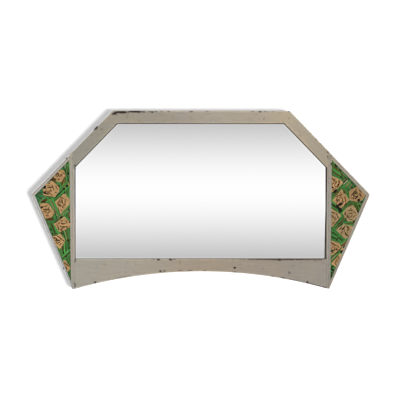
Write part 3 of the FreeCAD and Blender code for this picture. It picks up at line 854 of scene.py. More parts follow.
left_strokes_px = [
    ("brown", [
        (67.4, 162.5, 67.8, 163.3, 0.45), (59.2, 169.8, 59.6, 170.8, 0.45),
        (63.0, 190.1, 55.4, 197.5, 0.42), (43.9, 192.0, 45.4, 193.4, 0.9), (45.6, 193.4, 48.6, 194.4, 0.4),
        (67.2, 176.4, 69.6, 183.6, 0.28), (61.8, 229.6, 66.6, 241.0, 0.28),
        (68.0, 243.0, 68.4, 250.6, 0.24), (66.6, 258.0, 69.8, 265.4, 0.26),
        (58.2, 207.6, 59.6, 213.4, 0.22), (66.3, 267.8, 66.6, 269.0, 0.45),
        (61.7, 223.0, 62.4, 224.2, 0.46), (66.5, 226.2, 67.6, 228.2, 0.38),
        (53.2, 237.8, 55.6, 238.0, 0.42), (55.6, 238.0, 58.0, 240.3, 0.42),
        (56.8, 235.5, 61.8, 239.2, 0.34), (61.8, 239.2, 64.4, 241.3, 0.3),
    ]),
    ("umber", [
        (50.0, 179.3, 55.4, 179.6, 1.2), (41.6, 202.0, 46.6, 200.0, 0.95), (47.0, 219.3, 53.4, 219.0, 0.85),
    ]),
    ("pale", [(38.9, 202.6, 46.0, 196.2, 0.3), (65.3, 163.4, 64.1, 169.4, 0.22)]),
    ("tan", [(68.9, 161.5, 69.5, 162.3, 0.6)]),
    ("deep", [(47.0, 182.5, 49.2, 181.4, 0.5)]),
    ("shade", [
        (51.6, 223.8, 55.6, 235.0, 0.32), (65.8, 243.0, 65.8, 251.4, 0.3), (55.2, 174.0, 57.6, 173.2, 0.4),
        (57.6, 173.2, 59.0, 174.4, 0.38), (55.8, 175.6, 57.6, 175.0, 0.26), (58.4, 174.8, 59.8, 176.6, 0.3),
        (56.8, 176.9, 58.2, 176.4, 0.26), (57.5, 179.8, 60.6, 178.6, 0.26),
        (61.0, 173.8, 62.4, 177.6, 0.22), (47.3, 186.0, 49.6, 185.6, 0.24),
        (52.6, 184.8, 53.8, 190.2, 0.28), (50.5, 189.0, 51.4, 190.6, 0.28),
        (51.0, 190.7, 48.6, 191.6, 0.26), (45.4, 190.6, 52.4, 195.2, 0.26),
        (56.2, 185.6, 57.6, 189.6, 0.24), (60.4, 197.3, 63.6, 198.5, 0.34), (61.8, 199.2, 62.4, 201.8, 0.4),
        (62.4, 201.8, 63.3, 204.0, 0.36), (65.0, 199.4, 65.3, 203.4, 0.28),
        (65.3, 203.4, 62.8, 206.8, 0.26), (59.3, 200.9, 57.4, 203.6, 0.34), (57.4, 203.6, 60.4, 206.9, 0.3),
        (59.0, 203.6, 61.2, 206.2, 0.26), (60.3, 198.8, 59.4, 201.6, 0.24),
        (60.6, 209.4, 61.6, 211.2, 0.28), (44.0, 209.5, 48.2, 209.8, 0.42),
        (43.6, 211.3, 45.6, 211.7, 0.28), (48.6, 207.4, 49.2, 210.6, 0.26),
        (46.8, 213.6, 50.4, 211.6, 0.24), (46.0, 215.6, 49.2, 215.8, 0.22),
        (61.2, 220.4, 62.0, 220.7, 0.42), (59.8, 222.4, 58.5, 224.2, 0.3), (60.2, 225.2, 60.8, 226.6, 0.4),
        (63.4, 224.4, 65.6, 223.2, 0.32), (61.6, 227.2, 65.0, 226.6, 0.4), (58.0, 227.0, 59.3, 229.8, 0.34),
        (60.4, 229.6, 63.2, 228.2, 0.32), (66.0, 221.0, 67.4, 223.2, 0.3), (57.0, 224.4, 57.8, 226.2, 0.28),
        (58.0, 240.3, 59.8, 240.4, 0.42), (54.4, 239.8, 57.6, 241.0, 0.3), (57.0, 243.6, 59.0, 242.6, 0.3),
        (59.0, 242.6, 60.6, 241.2, 0.26), (59.6, 245.4, 61.8, 243.2, 0.24),
        (64.6, 262.4, 66.3, 264.8, 0.28), (66.9, 264.0, 68.4, 266.8, 0.26), (36.6, 193.9, 43.0, 191.9, 0.3),
    ]),
    ("black", [
        (44.1, 186.0, 44.9, 188.0, 1.1), (68.5, 172.8, 68.7, 174.4, 0.55), (66.5, 186.8, 67.5, 185.3, 0.75),
        (64.4, 191.8, 64.7, 192.7, 0.5), (41.0, 207.7, 43.0, 206.9, 0.58), (54.8, 210.6, 55.8, 212.5, 0.45),
        (50.3, 227.5, 51.8, 231.0, 0.35), (52.2, 233.3, 52.8, 234.3, 0.45),
        (69.5, 247.5, 69.6, 249.0, 0.35),
    ]),
    ("pink", [(50.2, 199.4, 57.8, 216.2, 0.27), (69.8, 208.0, 57.2, 219.4, 0.27)]),
    ("cream", [(44.5, 184.6, 51.8, 181.0, 0.24), (59.5, 190.2, 56.8, 194.0, 0.26)]),
    ("olive", [
        (51.5, 178.6, 54.0, 178.4, 0.45), (49.9, 178.2, 50.9, 179.4, 0.35), (55.5, 192.2, 56.3, 192.6, 0.6),
        (37.4, 191.8, 43.0, 188.6, 0.24), (37.0, 194.9, 43.0, 194.4, 0.28),
        (36.9, 197.2, 39.8, 200.8, 0.22),
    ]),
    ("shade", [
        (47.5, 187.7, 52.6, 187.2, 0.44), (48.0, 183.6, 50.8, 182.8, 0.24), (44.4, 206.8, 47.3, 205.7, 0.3),
        (36.6, 195.6, 41.6, 198.6, 0.28),
    ]),
    ("red", [
        (69.5, 175.2, 69.6, 178.0, 0.35), (58.9, 185.0, 59.4, 186.8, 0.5), (69.4, 216.8, 69.7, 218.0, 0.4),
        (55.0, 222.3, 56.3, 221.4, 0.4), (69.2, 221.2, 69.8, 223.0, 0.4), (61.2, 232.2, 62.2, 234.8, 0.5),
        (70.0, 252.2, 63.0, 258.5, 0.38),
    ]),
    ("rust", [
        (66.6, 165.0, 67.4, 174.6, 0.28), (65.8, 176.0, 62.2, 182.8, 0.3), (65.2, 229.8, 69.4, 242.4, 0.26),
        (61.6, 246.0, 62.4, 251.0, 0.22), (47.8, 219.8, 52.8, 219.6, 0.35),
        (63.0, 172.4, 64.8, 174.6, 0.28), (60.9, 231.0, 62.2, 230.0, 0.34),
    ]),
    ("brown", [
        (63.3, 189.5, 64.8, 188.3, 0.8), (42.4, 202.2, 45.6, 201.6, 0.35), (51.2, 177.2, 52.6, 178.6, 0.3),
        (52.9, 176.4, 53.9, 178.0, 0.3), (68.3, 166.0, 68.9, 172.2, 0.22), (63.2, 166.0, 66.4, 173.4, 0.26),
        (63.6, 180.4, 61.8, 185.4, 0.26), (55.2, 213.8, 57.6, 220.6, 0.24),
        (62.4, 207.0, 63.1, 208.0, 0.45),
    ]),
    ("gold", [
        (68.4, 183.0, 68.6, 185.4, 0.45), (65.0, 187.0, 65.6, 187.4, 0.4), (60.6, 170.6, 62.4, 172.0, 0.5),
    ]),
    ("red", [(63.2, 244.2, 63.3, 252.0, 0.38)]),
    ("black", [
        (68.4, 210.0, 69.2, 209.1, 0.45), (60.0, 218.3, 62.2, 216.3, 0.5), (67.7, 239.3, 68.5, 241.4, 0.45),
        (63.4, 252.0, 63.6, 253.5, 0.5), (65.8, 256.6, 66.4, 256.0, 0.5),
    ]),
]

right_leaves_px = [
    (331.6, 163.0, 348.0, 178.8, 1.2, "green", "rust"), (331.2, 167.0, 344.4, 178.0, 1.7, "bright"),
    (331.2, 172.6, 342.8, 180.6, 1.6, "green"), (331.9, 160.4, 338.8, 169.2, 1.1, "bright"),
    (340.4, 170.4, 348.6, 179.2, 0.8, "bright"), (348.0, 177.2, 341.6, 181.8, 0.8, "olive", "pale"),
    (349.2, 178.2, 343.0, 184.0, 0.8, "deep"), (350.0, 179.2, 342.8, 185.4, 1.0, "green"),
    (351.0, 180.0, 343.6, 188.6, 1.4, "bright", "deep"), (352.4, 181.4, 346.2, 189.8, 1.3, "green"),
    (353.6, 183.0, 348.2, 190.8, 1.1, "deep"), (354.6, 184.6, 350.0, 189.8, 0.9, "green"),
    (356.0, 186.4, 351.8, 188.4, 0.8, "deep"), (343.6, 183.2, 331.0, 196.6, 1.0, "green"),
    (344.2, 185.6, 331.0, 200.2, 1.3, "bright"), (341.0, 187.6, 349.6, 200.4, 1.5, "green"),
    (342.8, 186.8, 349.8, 197.4, 1.3, "bright", "deep"), (364.9, 196.0, 361.0, 202.4, 1.0, "teal"),
    (331.0, 200.2, 338.4, 208.2, 1.3, "bright"), (330.8, 205.6, 339.8, 213.2, 1.3, "bright"),
    (337.4, 207.2, 339.6, 209.2, 0.7, "bright"), (341.0, 209.6, 352.4, 199.2, 1.1, "green"),
    (340.2, 215.6, 348.4, 205.4, 1.2, "bright"), (347.4, 207.8, 359.4, 202.2, 1.3, "lime", "deep", 0.6),
    (353.2, 202.4, 358.6, 213.2, 1.2, "lime"), (357.0, 201.4, 360.4, 211.0, 1.3, "lime"),
    (358.2, 203.4, 362.2, 204.0, 0.7, "pale"), (342.4, 215.4, 332.4, 229.0, 1.5, "bright"),
    (346.2, 218.2, 334.8, 230.4, 1.4, "green"), (344.8, 222.0, 342.6, 225.4, 1.3, "pale"),
    (343.6, 222.8, 354.8, 221.2, 1.2, "green"), (344.2, 224.4, 354.2, 224.6, 1.0, "bright"),
    (330.4, 238.0, 340.6, 244.8, 1.3, "green"), (330.4, 233.6, 340.2, 244.0, 1.5, "green"),
    (330.6, 229.6, 344.0, 244.0, 1.6, "bright"), (331.4, 226.0, 346.4, 241.2, 1.6, "green"),
    (339.2, 244.8, 348.2, 238.0, 1.0, "bright"), (341.2, 247.0, 346.8, 241.8, 0.8, "olive"),
    (341.6, 246.6, 330.2, 258.0, 0.9, "green"), (340.6, 251.2, 330.4, 263.8, 1.3, "bright"),
    (339.4, 250.4, 341.6, 254.8, 0.8, "green"), (329.8, 263.6, 335.2, 269.2, 1.2, "bright"),
    (329.6, 268.8, 333.6, 273.6, 1.2, "green"), (332.4, 272.2, 329.0, 282.0, 1.2, "green", "brown"),
]
right_roses_px = [
    ("tan", 1.18, [(331.2, 175.6), (340.3, 180.0), (343.0, 183.0), (337.3, 188.4), (331.2, 192.5)]),
    ("tan", 0.82, [
        (357.2, 186.8), (365.4, 195.2), (362.0, 200.0), (358.0, 201.9), (349.8, 200.1), (349.4, 190.9),
    ]),
    ("tan", 0.93, [(341.4, 189.6), (349.2, 200.0), (341.4, 208.1), (332.6, 200.3)]),
    ("sand", 0.96, [
        (352.6, 205.2), (354.8, 207.6), (358.4, 213.8), (354.0, 221.0), (346.0, 221.2), (344.8, 217.8),
        (341.7, 214.6), (347.0, 207.8),
    ]),
    ("sand", 1.06, [(330.6, 208.2), (340.3, 214.4), (340.7, 216.0), (332.8, 226.8), (330.4, 226.4)]),
    ("sand", 0.90, [(343.9, 224.4), (353.2, 226.4), (348.9, 237.0), (345.2, 238.6), (335.8, 229.4)]),
    ("tan", 1.00, [(330.2, 240.4), (339.2, 243.4), (340.9, 247.2), (337.6, 251.0), (330.0, 256.2)]),
    ("tan", 1.00, [(345.8, 243.6), (343.9, 249.4), (340.3, 250.5), (342.4, 246.6)]),
    ("tan", 1.30, [(339.8, 253.6), (341.4, 255.0), (335.6, 266.8), (331.2, 263.6)]),
]
right_strokes_px = [
    ("black", [
        (343.5, 182.8, 346.6, 180.2, 0.35), (348.2, 178.8, 348.9, 179.5, 0.42),
        (333.6, 192.5, 336.6, 190.0, 0.72), (332.4, 186.8, 332.9, 188.3, 0.5),
        (358.2, 201.2, 358.9, 199.2, 0.8), (338.8, 204.8, 341.7, 203.6, 0.92),
        (336.6, 205.3, 338.4, 207.6, 0.8), (343.6, 247.4, 344.9, 245.5, 0.6),
        (340.8, 252.2, 342.0, 250.8, 0.6), (331.2, 251.2, 332.6, 250.3, 0.62),
        (336.0, 249.6, 336.7, 249.0, 0.5), (332.0, 266.8, 333.2, 266.1, 0.6),
        (330.2, 268.1, 333.8, 270.8, 0.48), (330.4, 277.0, 331.6, 275.2, 0.5),
    ]),
    ("cream", [(343.6, 184.2, 347.4, 180.2, 0.28), (341.8, 247.6, 343.0, 246.2, 0.34)]),
    ("shade", [
        (334.2, 178.4, 336.0, 179.6, 0.26), (358.6, 189.8, 360.9, 192.4, 0.24),
        (336.4, 196.9, 338.2, 195.7, 0.34), (338.2, 195.7, 342.4, 194.5, 0.34),
        (338.6, 199.3, 339.3, 201.3, 0.34), (341.2, 197.4, 342.7, 199.3, 0.28),
        (342.7, 199.3, 341.6, 201.4, 0.26), (339.3, 197.5, 340.9, 196.5, 0.26),
        (342.4, 203.0, 343.8, 201.2, 0.24), (339.6, 193.2, 341.6, 192.6, 0.22),
        (347.8, 210.7, 353.4, 209.8, 0.3), (346.8, 214.8, 348.2, 217.4, 0.3),
        (346.2, 216.2, 348.4, 218.3, 0.3), (350.4, 217.2, 352.4, 215.2, 0.28),
        (352.8, 217.6, 355.4, 215.0, 0.28), (350.8, 208.0, 351.4, 209.3, 0.26),
        (354.0, 211.2, 355.6, 213.4, 0.26), (349.4, 219.6, 352.6, 219.4, 0.24),
        (330.8, 212.3, 334.7, 213.2, 0.32), (335.8, 213.4, 337.4, 216.0, 0.34),
        (337.4, 216.0, 338.2, 218.0, 0.34), (332.6, 215.0, 333.9, 218.8, 0.3),
        (331.2, 214.8, 332.4, 217.6, 0.24), (334.8, 216.2, 335.7, 219.2, 0.26),
        (334.4, 221.4, 332.0, 224.4, 0.26), (345.3, 225.8, 341.8, 229.8, 0.34),
        (341.7, 226.8, 339.4, 230.0, 0.3), (344.3, 227.4, 342.6, 230.0, 0.26),
        (346.2, 226.1, 348.9, 228.0, 0.34), (342.5, 231.4, 341.0, 233.4, 0.26),
        (333.4, 246.2, 331.2, 248.6, 0.26), (334.9, 247.4, 333.6, 250.8, 0.28),
        (336.9, 245.2, 338.6, 247.6, 0.26), (331.8, 253.4, 333.6, 252.2, 0.26),
        (336.9, 259.6, 334.8, 262.4, 0.24), (334.8, 262.4, 336.4, 265.4, 0.26),
    ]),
    ("brown", [
        (354.4, 185.4, 355.0, 186.2, 0.38), (343.4, 191.6, 345.0, 193.6, 0.45),
        (361.0, 202.5, 362.0, 201.9, 0.6), (331.4, 204.2, 338.4, 209.4, 0.38),
        (354.2, 203.4, 357.6, 211.6, 0.26), (341.2, 217.4, 332.6, 227.2, 0.26),
        (345.2, 219.8, 336.4, 229.4, 0.24), (333.6, 198.0, 340.4, 190.4, 0.22),
        (331.6, 203.0, 335.8, 206.6, 0.24), (331.4, 207.6, 337.0, 211.6, 0.24),
        (340.6, 248.8, 332.0, 257.6, 0.24), (338.6, 254.6, 331.4, 262.4, 0.24),
        (359.0, 205.3, 359.7, 206.6, 0.5), (345.6, 218.3, 346.0, 219.3, 0.45),
        (331.4, 231.5, 337.4, 236.0, 0.4), (331.0, 236.3, 336.6, 239.4, 0.4),
        (338.0, 236.8, 342.4, 241.3, 0.4), (330.6, 272.0, 332.4, 273.6, 0.3),
        (331.8, 178.3, 336.4, 182.2, 0.34), (339.0, 180.2, 339.1, 183.2, 0.44),
        (339.1, 183.2, 337.2, 187.0, 0.48), (356.7, 189.2, 351.2, 195.6, 0.38),
        (355.2, 195.8, 355.9, 197.0, 0.36), (357.7, 195.6, 356.5, 197.4, 0.48),
        (356.3, 197.6, 355.0, 198.9, 0.44), (359.5, 193.2, 360.4, 195.2, 0.36),
        (353.0, 198.1, 353.8, 198.8, 0.4), (336.6, 198.8, 337.5, 201.6, 0.42),
        (344.9, 212.2, 345.3, 215.0, 0.42), (345.0, 232.5, 346.6, 235.2, 0.44),
        (347.0, 235.0, 348.4, 236.3, 0.4), (331.1, 242.4, 335.2, 245.7, 0.36),
    ]),
    ("shade", [
        (336.9, 181.4, 335.0, 184.6, 0.24), (334.4, 185.8, 336.4, 187.0, 0.26),
        (333.0, 184.0, 334.4, 181.9, 0.24), (332.6, 190.4, 336.4, 188.0, 0.22),
        (356.8, 191.4, 353.2, 195.0, 0.24), (360.4, 195.2, 361.5, 196.5, 0.3),
        (351.4, 197.2, 352.2, 198.2, 0.26), (344.2, 229.4, 344.6, 231.6, 0.26),
        (337.6, 256.2, 339.2, 258.6, 0.24),
    ]),
    ("olive", [
        (344.6, 242.7, 345.6, 241.9, 0.5), (355.2, 193.6, 357.2, 193.0, 0.7),
        (348.9, 213.3, 352.2, 213.2, 0.46), (347.5, 230.6, 348.9, 229.1, 0.46),
    ]),
    ("rust", [
        (332.5, 166.0, 340.0, 171.3, 0.38), (340.0, 171.3, 343.6, 176.2, 0.34),
        (332.2, 171.6, 340.4, 176.3, 0.38), (342.3, 188.5, 348.0, 194.6, 0.3),
        (341.0, 188.2, 331.8, 197.4, 0.32), (343.6, 219.6, 335.2, 228.0, 0.34),
        (346.0, 223.7, 353.6, 223.0, 0.28), (344.2, 196.6, 345.6, 199.6, 0.34),
        (345.6, 199.6, 345.2, 202.4, 0.34),
    ]),
    ("black", [
        (334.9, 164.5, 337.0, 166.9, 0.62), (338.9, 208.2, 341.2, 211.2, 0.92),
        (356.9, 210.0, 358.4, 212.6, 0.42), (341.5, 224.5, 342.3, 223.5, 0.38),
        (335.2, 254.3, 337.6, 252.0, 0.32),
    ]),
    ("pink", [
        (345.6, 187.5, 349.6, 181.8, 0.3), (349.2, 188.4, 352.2, 183.4, 0.24),
        (341.0, 245.2, 346.6, 240.8, 0.26), (336.6, 253.6, 331.0, 260.0, 0.3),
    ]),
    ("pale", [(342.8, 173.8, 345.6, 177.2, 0.22)]),
    ("brown", [
        (340.4, 176.3, 342.7, 178.5, 0.42), (339.7, 169.4, 340.8, 171.0, 0.5),
        (351.3, 182.3, 351.9, 183.0, 0.38), (347.4, 193.8, 348.3, 195.0, 0.4),
        (339.3, 212.4, 339.9, 211.5, 0.6), (341.4, 208.4, 350.6, 200.8, 0.22),
        (341.0, 174.4, 342.8, 176.8, 0.26), (344.0, 176.0, 346.4, 178.8, 0.24),
        (353.2, 221.9, 354.3, 220.9, 0.6), (332.0, 183.2, 332.4, 184.6, 0.28),
        (353.4, 195.2, 354.4, 196.4, 0.5),
    ]),
    ("red", [
        (351.4, 187.9, 352.3, 187.1, 0.6), (344.4, 205.8, 345.4, 205.0, 0.4),
        (356.2, 204.6, 358.4, 209.6, 0.3), (338.6, 223.6, 339.4, 222.8, 0.42),
        (336.3, 240.1, 337.6, 239.6, 0.6),
    ]),
    ("rust", [(342.5, 209.9, 353.3, 201.8, 0.24), (344.4, 204.6, 346.6, 203.0, 0.26)]),
    ("deep", [(346.8, 206.8, 352.6, 203.6, 0.22)]),
    ("brown", [(337.0, 237.2, 337.6, 239.0, 0.34)]),
]

# How the leaves, roses and strokes are cut. Strokes in the hollow tones lie low, wider ones a step lower, and
# shares say how much of a width, a depth or a colour is taken.
hollow_tones = ("brown", "black", "red", "rust", "shade", "olive", "deep", "umber")
lattice_steps = 400
colour_seed = 5
soft_edge_px = 0.12
outline_px = 0.14
outline_height_mm = 0.2
leaf_share = 1.15
leaf_height_mm = 1.5
leaf_outline_share = 0.6
midrib_half_px = 0.26
midrib_depth_mm = 0.55
streak_px = 1.35
streak_share = 0.2
rose_spread_px = 0.2
rose_height_mm = 2.1
rose_outline_share = 0.5
rose_rim_px = 0.5
rose_rim_share = 0.65
petal_line_px = 0.26
petal_depth_mm = 0.7
petal_swell_mm = 0.35
petal_steps = 4.6
# Each ring of petals: where it lies between the middle and the outline, how many petals, and how dark
petal_rings = ((0.2, 2, 0.55), (0.42, 3, 0.55), (0.63, 4, 0.38), (0.82, 5, 0.38))
gouges_per_rose = 6
gouge_px = (0.7, 2.0)
gouge_half_px = 0.13
stroke_share = 1.55
black_share = 1.15
hollow_depth_mm = 0.5
deep_half_px = 0.4
no_edge_px = 1e9


def eased(value):
    """A smooth step of an array from 0 to 1."""
    held = np.clip(value, 0.0, 1.0)
    return held * held * (3 - 2 * held)


def toward(colour, tone, share):
    """Colours mixed with a tone by a share for each."""
    return colour * (1 - share[:, None]) + np.array(linear(tones[tone]))[None, :] * share[:, None]


class Relief:
    """Heights and colours over a panel's points, laid on one over the other."""

    def __init__(self, u, v, leaf_light):
        self.u, self.v, self.leaf_light = u, v, leaf_light
        self.height = np.zeros(len(u))
        self.colour = self.plain("ground")
        self.draw = np.random.default_rng(colour_seed)

    def plain(self, tone):
        return np.tile(linear(tones[tone]), (len(self.u), 1))

    def lay(self, cover, height, colour):
        self.height = self.height * (1 - cover) + height * cover
        self.colour = self.colour * (1 - cover[:, None]) + colour * cover[:, None]

    # A dark outline, laid low: painted shade in the gap round a leaf or rose
    def lay_outline(self, cover):
        self.lay(cover, np.minimum(self.height, outline_height_mm), self.plain("outline"))

    def leaf(self, u0, v0, u1, v1, half, tone, rib=None, bow=0.0):
        length = math.hypot(u1 - u0, v1 - v0)
        eu, ev = (u1 - u0) / length, (v1 - v0) / length
        du, dv = self.u - u0, self.v - v0
        share = np.clip((du * eu + dv * ev) / length, 0.0, 1.0)
        side = dv * eu - du * ev - bow * 4 * share * (1 - share)
        width = leaf_share * half * (4 * share * (1 - share)) ** 0.5
        off_middle = np.abs(side)
        outline = eased((width + outline_px - off_middle) / soft_edge_px) * (width > 0)
        self.lay_outline(outline * leaf_outline_share)
        cover = eased((width - off_middle) / soft_edge_px) * (width > 0)
        across = np.clip(off_middle / np.maximum(width, soft_edge_px), 0.0, 1.0)
        base = np.array(linear(tones[tone])) * self.draw.uniform(0.88, 1.12) * self.leaf_light
        streaks = np.sin(side * 2 * math.pi / streak_px + self.draw.uniform(0, 6) + 1.5 * share)
        # Painted light on the blade: darker towards its edges and lighter on one side of the midrib, over
        # fine lengthwise streaks
        lit = 1.0 - 0.25 * across**3 + 0.06 * np.sign(side) + streak_share * streaks
        colour = base[None, :] * lit[:, None]
        groove = np.exp(-((side / midrib_half_px) ** 2))
        if rib:
            colour = toward(colour, rib, groove * eased(width / (0.45 * half)))
        self.lay(cover, leaf_height_mm * (1 - 0.55 * across**2) - midrib_depth_mm * groove, colour)

    def rose(self, tone, level, corners, turn):
        """A bloom with an angular outline, whose petals follow that outline inward in broken rings."""
        points = np.array(corners)
        middle = points.mean(0)
        reach = np.full(len(self.u), no_edge_px)
        deepest = no_edge_px
        for p, q in zip(points, np.roll(points, -1, 0)):
            length = math.hypot(*(q - p))
            normal = np.array((p[1] - q[1], q[0] - p[0])) / length
            within = (self.u - p[0]) * normal[0] + (self.v - p[1]) * normal[1]
            reach = np.minimum(reach, within + rose_spread_px)
            deepest = min(deepest, float((middle - p) @ normal))
        ring = np.clip(1 - reach / deepest, 0.0, 1.2)
        angle = np.arctan2(self.v - middle[1], self.u - middle[0]) + turn
        wavy = ring + 0.05 * np.sin(3 * angle + 4 * ring) + 0.03 * np.sin(5 * angle + turn)
        self.lay_outline(eased((reach + outline_px) / soft_edge_px) * rose_outline_share)
        grooves = np.zeros(len(self.u))
        for order, (radius, petals, depth) in enumerate(petal_rings):
            line = np.exp(-(((wavy - radius) * deepest / petal_line_px) ** 2))
            gaps = eased(0.5 + 1.6 * np.cos(petals * angle + 1.7 * order))
            grooves = np.maximum(grooves, line * gaps * depth)
        swell = np.mod(1.0 - wavy * petal_steps, 1.0)
        height = rose_height_mm * (1 - 0.35 * ring**2) + petal_swell_mm * swell - petal_depth_mm * grooves
        height = height * eased(reach / (2.5 * soft_edge_px) + 0.4)
        base = np.array(linear(tones[tone])) * self.draw.uniform(0.94, 1.08) * level
        # Painted highlight: each ring of petals is lighter towards its raised outer edge
        colour = base[None, :] * (0.89 + 0.38 * swell)[:, None]
        colour = toward(colour, "rim", eased(1 - reach / rose_rim_px) * rose_rim_share)
        self.lay(eased(reach / soft_edge_px + 0.5), height, toward(colour, "shade", grooves))
        for _ in range(gouges_per_rose):
            share, spin = self.draw.uniform(0.25, 0.85), self.draw.uniform(0, 2 * math.pi)
            u, v = middle + share * deepest * np.array((math.cos(spin), math.sin(spin)))
            run, lean = self.draw.uniform(*gouge_px), spin + math.pi / 2 + self.draw.uniform(-0.5, 0.5)
            self.stroke("shade", u, v, u + run * math.cos(lean), v + run * math.sin(lean), gouge_half_px)

    def stroke(self, tone, u0, v0, u1, v1, half):
        length = max(math.hypot(u1 - u0, v1 - v0), soft_edge_px)
        eu, ev = (u1 - u0) / length, (v1 - v0) / length
        du, dv = self.u - u0, self.v - v0
        along = np.clip(du * eu + dv * ev, 0.0, length)
        away = np.hypot(du - along * eu, dv - along * ev)
        taper = (0.55 + 0.45 * np.sin(np.pi * along / length)) * (black_share if tone == "black" else 1.0)
        cover = eased((stroke_share * half * taper - away) / (1.6 * soft_edge_px) + 0.5)
        height = self.height
        if tone in hollow_tones:
            height = np.minimum(height, height * 0.35 - hollow_depth_mm * (half > deep_half_px))
        self.lay(cover, height, self.plain(tone))


def lattice(steps):
    """Weights of a triangle's three corners on an even lattice, its small triangles and its three borders."""
    ij = np.array([(i, j) for i in range(steps + 1) for j in range(steps + 1 - i)])
    weights = np.stack([steps - ij[:, 0] - ij[:, 1], ij[:, 0], ij[:, 1]], 1) / steps
    start = np.concatenate([[0], np.cumsum(np.arange(steps + 1, 0, -1))])
    faces = []
    for i in range(steps):
        here, there = start[i], start[i + 1]
        j = np.arange(steps - i)
        faces.append(np.stack([here + j, here + j + 1, there + j], 1))
        j = j[:-1]
        faces.append(np.stack([here + j + 1, there + j + 1, there + j], 1))
    first_row, row_starts, row_ends = np.arange(steps + 1), start[:-1], start[1:] - 1
    return weights, np.concatenate(faces), (first_row, row_ends, row_starts[::-1])


def carved_panel(side, leaf_light, leaves, roses, strokes):
    """The carved board: a fine surface in front, and the plain board's edges and back."""
    sign = -1 if side == "left" else 1
    weights, faces, borders = lattice(lattice_steps)
    corners_mm = np.array([(sign * x, z) for x, z in (panel_top, panel_apex, panel_tip)])
    x, z = (weights @ corners_mm).T
    relief = Relief(*in_photo(x, panel_ground_mm, z), leaf_light)
    for leaf in leaves:
        relief.leaf(*leaf)
    for order, rose in enumerate(roses):
        relief.rose(*rose, 1.3 * order)
    for tone, places in strokes:
        for place in places:
            relief.stroke(tone, *place)
    points = np.stack([x, panel_ground_mm - relief.height, z], 1)
    outline = np.concatenate([border[:-1] for border in borders])
    base, count = len(points), len(outline)
    backs = np.stack([points[outline, 0], np.full(count, panel_back_mm), points[outline, 2]], 1)
    following = np.roll(np.arange(count), -1)
    walls = [[outline[n], base + n, base + m, outline[m]] for n, m in enumerate(following)]
    back = [base + n for n in range(count)]
    every = [list(face) for face in faces] + walls + [back[::-1]]
    if sign < 0:
        every = [face[::-1] for face in every]
    mesh = bpy.data.meshes.new(side + "_carved_panel")
    vertices = (np.concatenate([points, backs]) * MM).tolist()
    mesh.from_pydata(vertices, [], [[int(n) for n in face] for face in every])
    mesh.validate()
    layer = mesh.color_attributes.new("carving", "FLOAT_COLOR", "POINT")
    colours = np.ones((len(mesh.vertices), 4), np.float32)
    colours[:base, :3] = np.clip(relief.colour, 0.0, 1.0)
    colours[base:, :3] = linear(tones["brown"])
    layer.data.foreach_set("color", colours.ravel())
    mesh.polygons.foreach_set("use_smooth", [True] * len(mesh.polygons))
    mesh.set_sharp_from_angle(angle=math.radians(60))
    made = bpy.data.objects.new(side + "_carved_panel", mesh)
    bpy.context.scene.collection.objects.link(made)
    return made


faded_paint = linear((196, 190, 168))
brushed_paint = linear((205, 200, 180))
paint_speck = linear((120, 92, 60))


def carved_paint():
    """Worn oil paint on carved wood: the carving's own colours, drifting, rubbed and dirty in the hollows."""
    s = Shader("carved_paint")
    place = s.place()
    painted = s.node("ShaderNodeAttribute", {"attribute_name": "carving"}).outputs["Color"]
    cloud = s.noise(place, 130.0, 3.0, 0.6)
    brush = s.noise(place, 420.0, 4.0, 0.65)
    speck = s.noise(place, 1100.0, 2.0, 0.6)
    faded = s.mix(1.0, painted, faded_paint, "MULTIPLY")
    tone = s.mix(s.band(cloud, 0.3, 0.7, 0.0, 0.28), painted, faded)
    brushed = s.mix(1.0, tone, brushed_paint, "MULTIPLY")
    tone = s.mix(s.band(brush, 0.38, 0.62, 0.0, 0.45), tone, brushed)
    tone = s.mix(s.band(speck, 0.62, 0.74, 0.0, 0.35), tone, paint_speck)
    height = s.math("MULTIPLY_ADD", brush, 0.7, s.math("MULTIPLY", speck, 0.3))
    return s.surface(
        Base_Color=tone,
        Roughness=s.band(cloud, 0.3, 0.7, 0.52, 0.68),
        Specular_IOR_Level=0.12,
        Normal=s.bump(height, 0.3, 0.5),
    )


# Each wing: how light its leaves are, then its carving
panel_paint = carved_paint()
wings = {
    "left": (1.22, left_leaves_px, left_roses_px, left_strokes_px),
    "right": (0.93, right_leaves_px, right_roses_px, right_strokes_px),
}
for side, carving in wings.items():
    panel = carved_panel(side, *carving)
    panel.data.materials.append(panel_paint)
    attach(panel, "mirror")
    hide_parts(side + "_wing_panel")

# The stage: a wall that only the camera sees, which takes the soft shadow, and a pale floor
wall_y_mm = 7.4
wall_half_width_mm = 1500.0
wall_top_mm = 1300.0
floor_level_mm = -650.0
floor_half_mm = 2600.0


def flat(name, corners_mm, material, hidden_from):
    mesh = bpy.data.meshes.new(name)
    mesh.from_pydata([tuple(v * MM for v in corner) for corner in corners_mm], [], [[0, 1, 2, 3]])
    made = bpy.data.objects.new(name, mesh)
    mesh.materials.append(material)
    bpy.context.scene.collection.objects.link(made)
    made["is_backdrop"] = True
    for kind in hidden_from:
        setattr(made, "visible_" + kind, False)
    return made


def lifted_white(name, albedo, lift, one_sided):
    """A matt white that the camera sees lifted to paper white where no shadow falls."""
    s = Shader(name)
    seen = s.node("ShaderNodeLightPath").outputs["Is Camera Ray"]
    matt = s.node("ShaderNodeBsdfDiffuse", Color=(albedo, albedo, albedo))
    glow = s.node("ShaderNodeEmission", Color=(1.0, 1.0, 1.0), Strength=s.math("MULTIPLY", seen, lift))
    both = s.node("ShaderNodeAddShader")
    s.put(both.inputs[0], matt.outputs[0])
    s.put(both.inputs[1], glow.outputs[0])
    result = both.outputs[0]
    if one_sided:
        clear = s.node("ShaderNodeBsdfTransparent")
        behind = s.node("ShaderNodeNewGeometry").outputs["Backfacing"]
        choice = s.node("ShaderNodeMixShader", Fac=behind)
        s.put(choice.inputs[1], result)
        s.put(choice.inputs[2], clear.outputs[0])
        result = choice.outputs[0]
    s.node("ShaderNodeOutputMaterial", Surface=result)
    return s.material


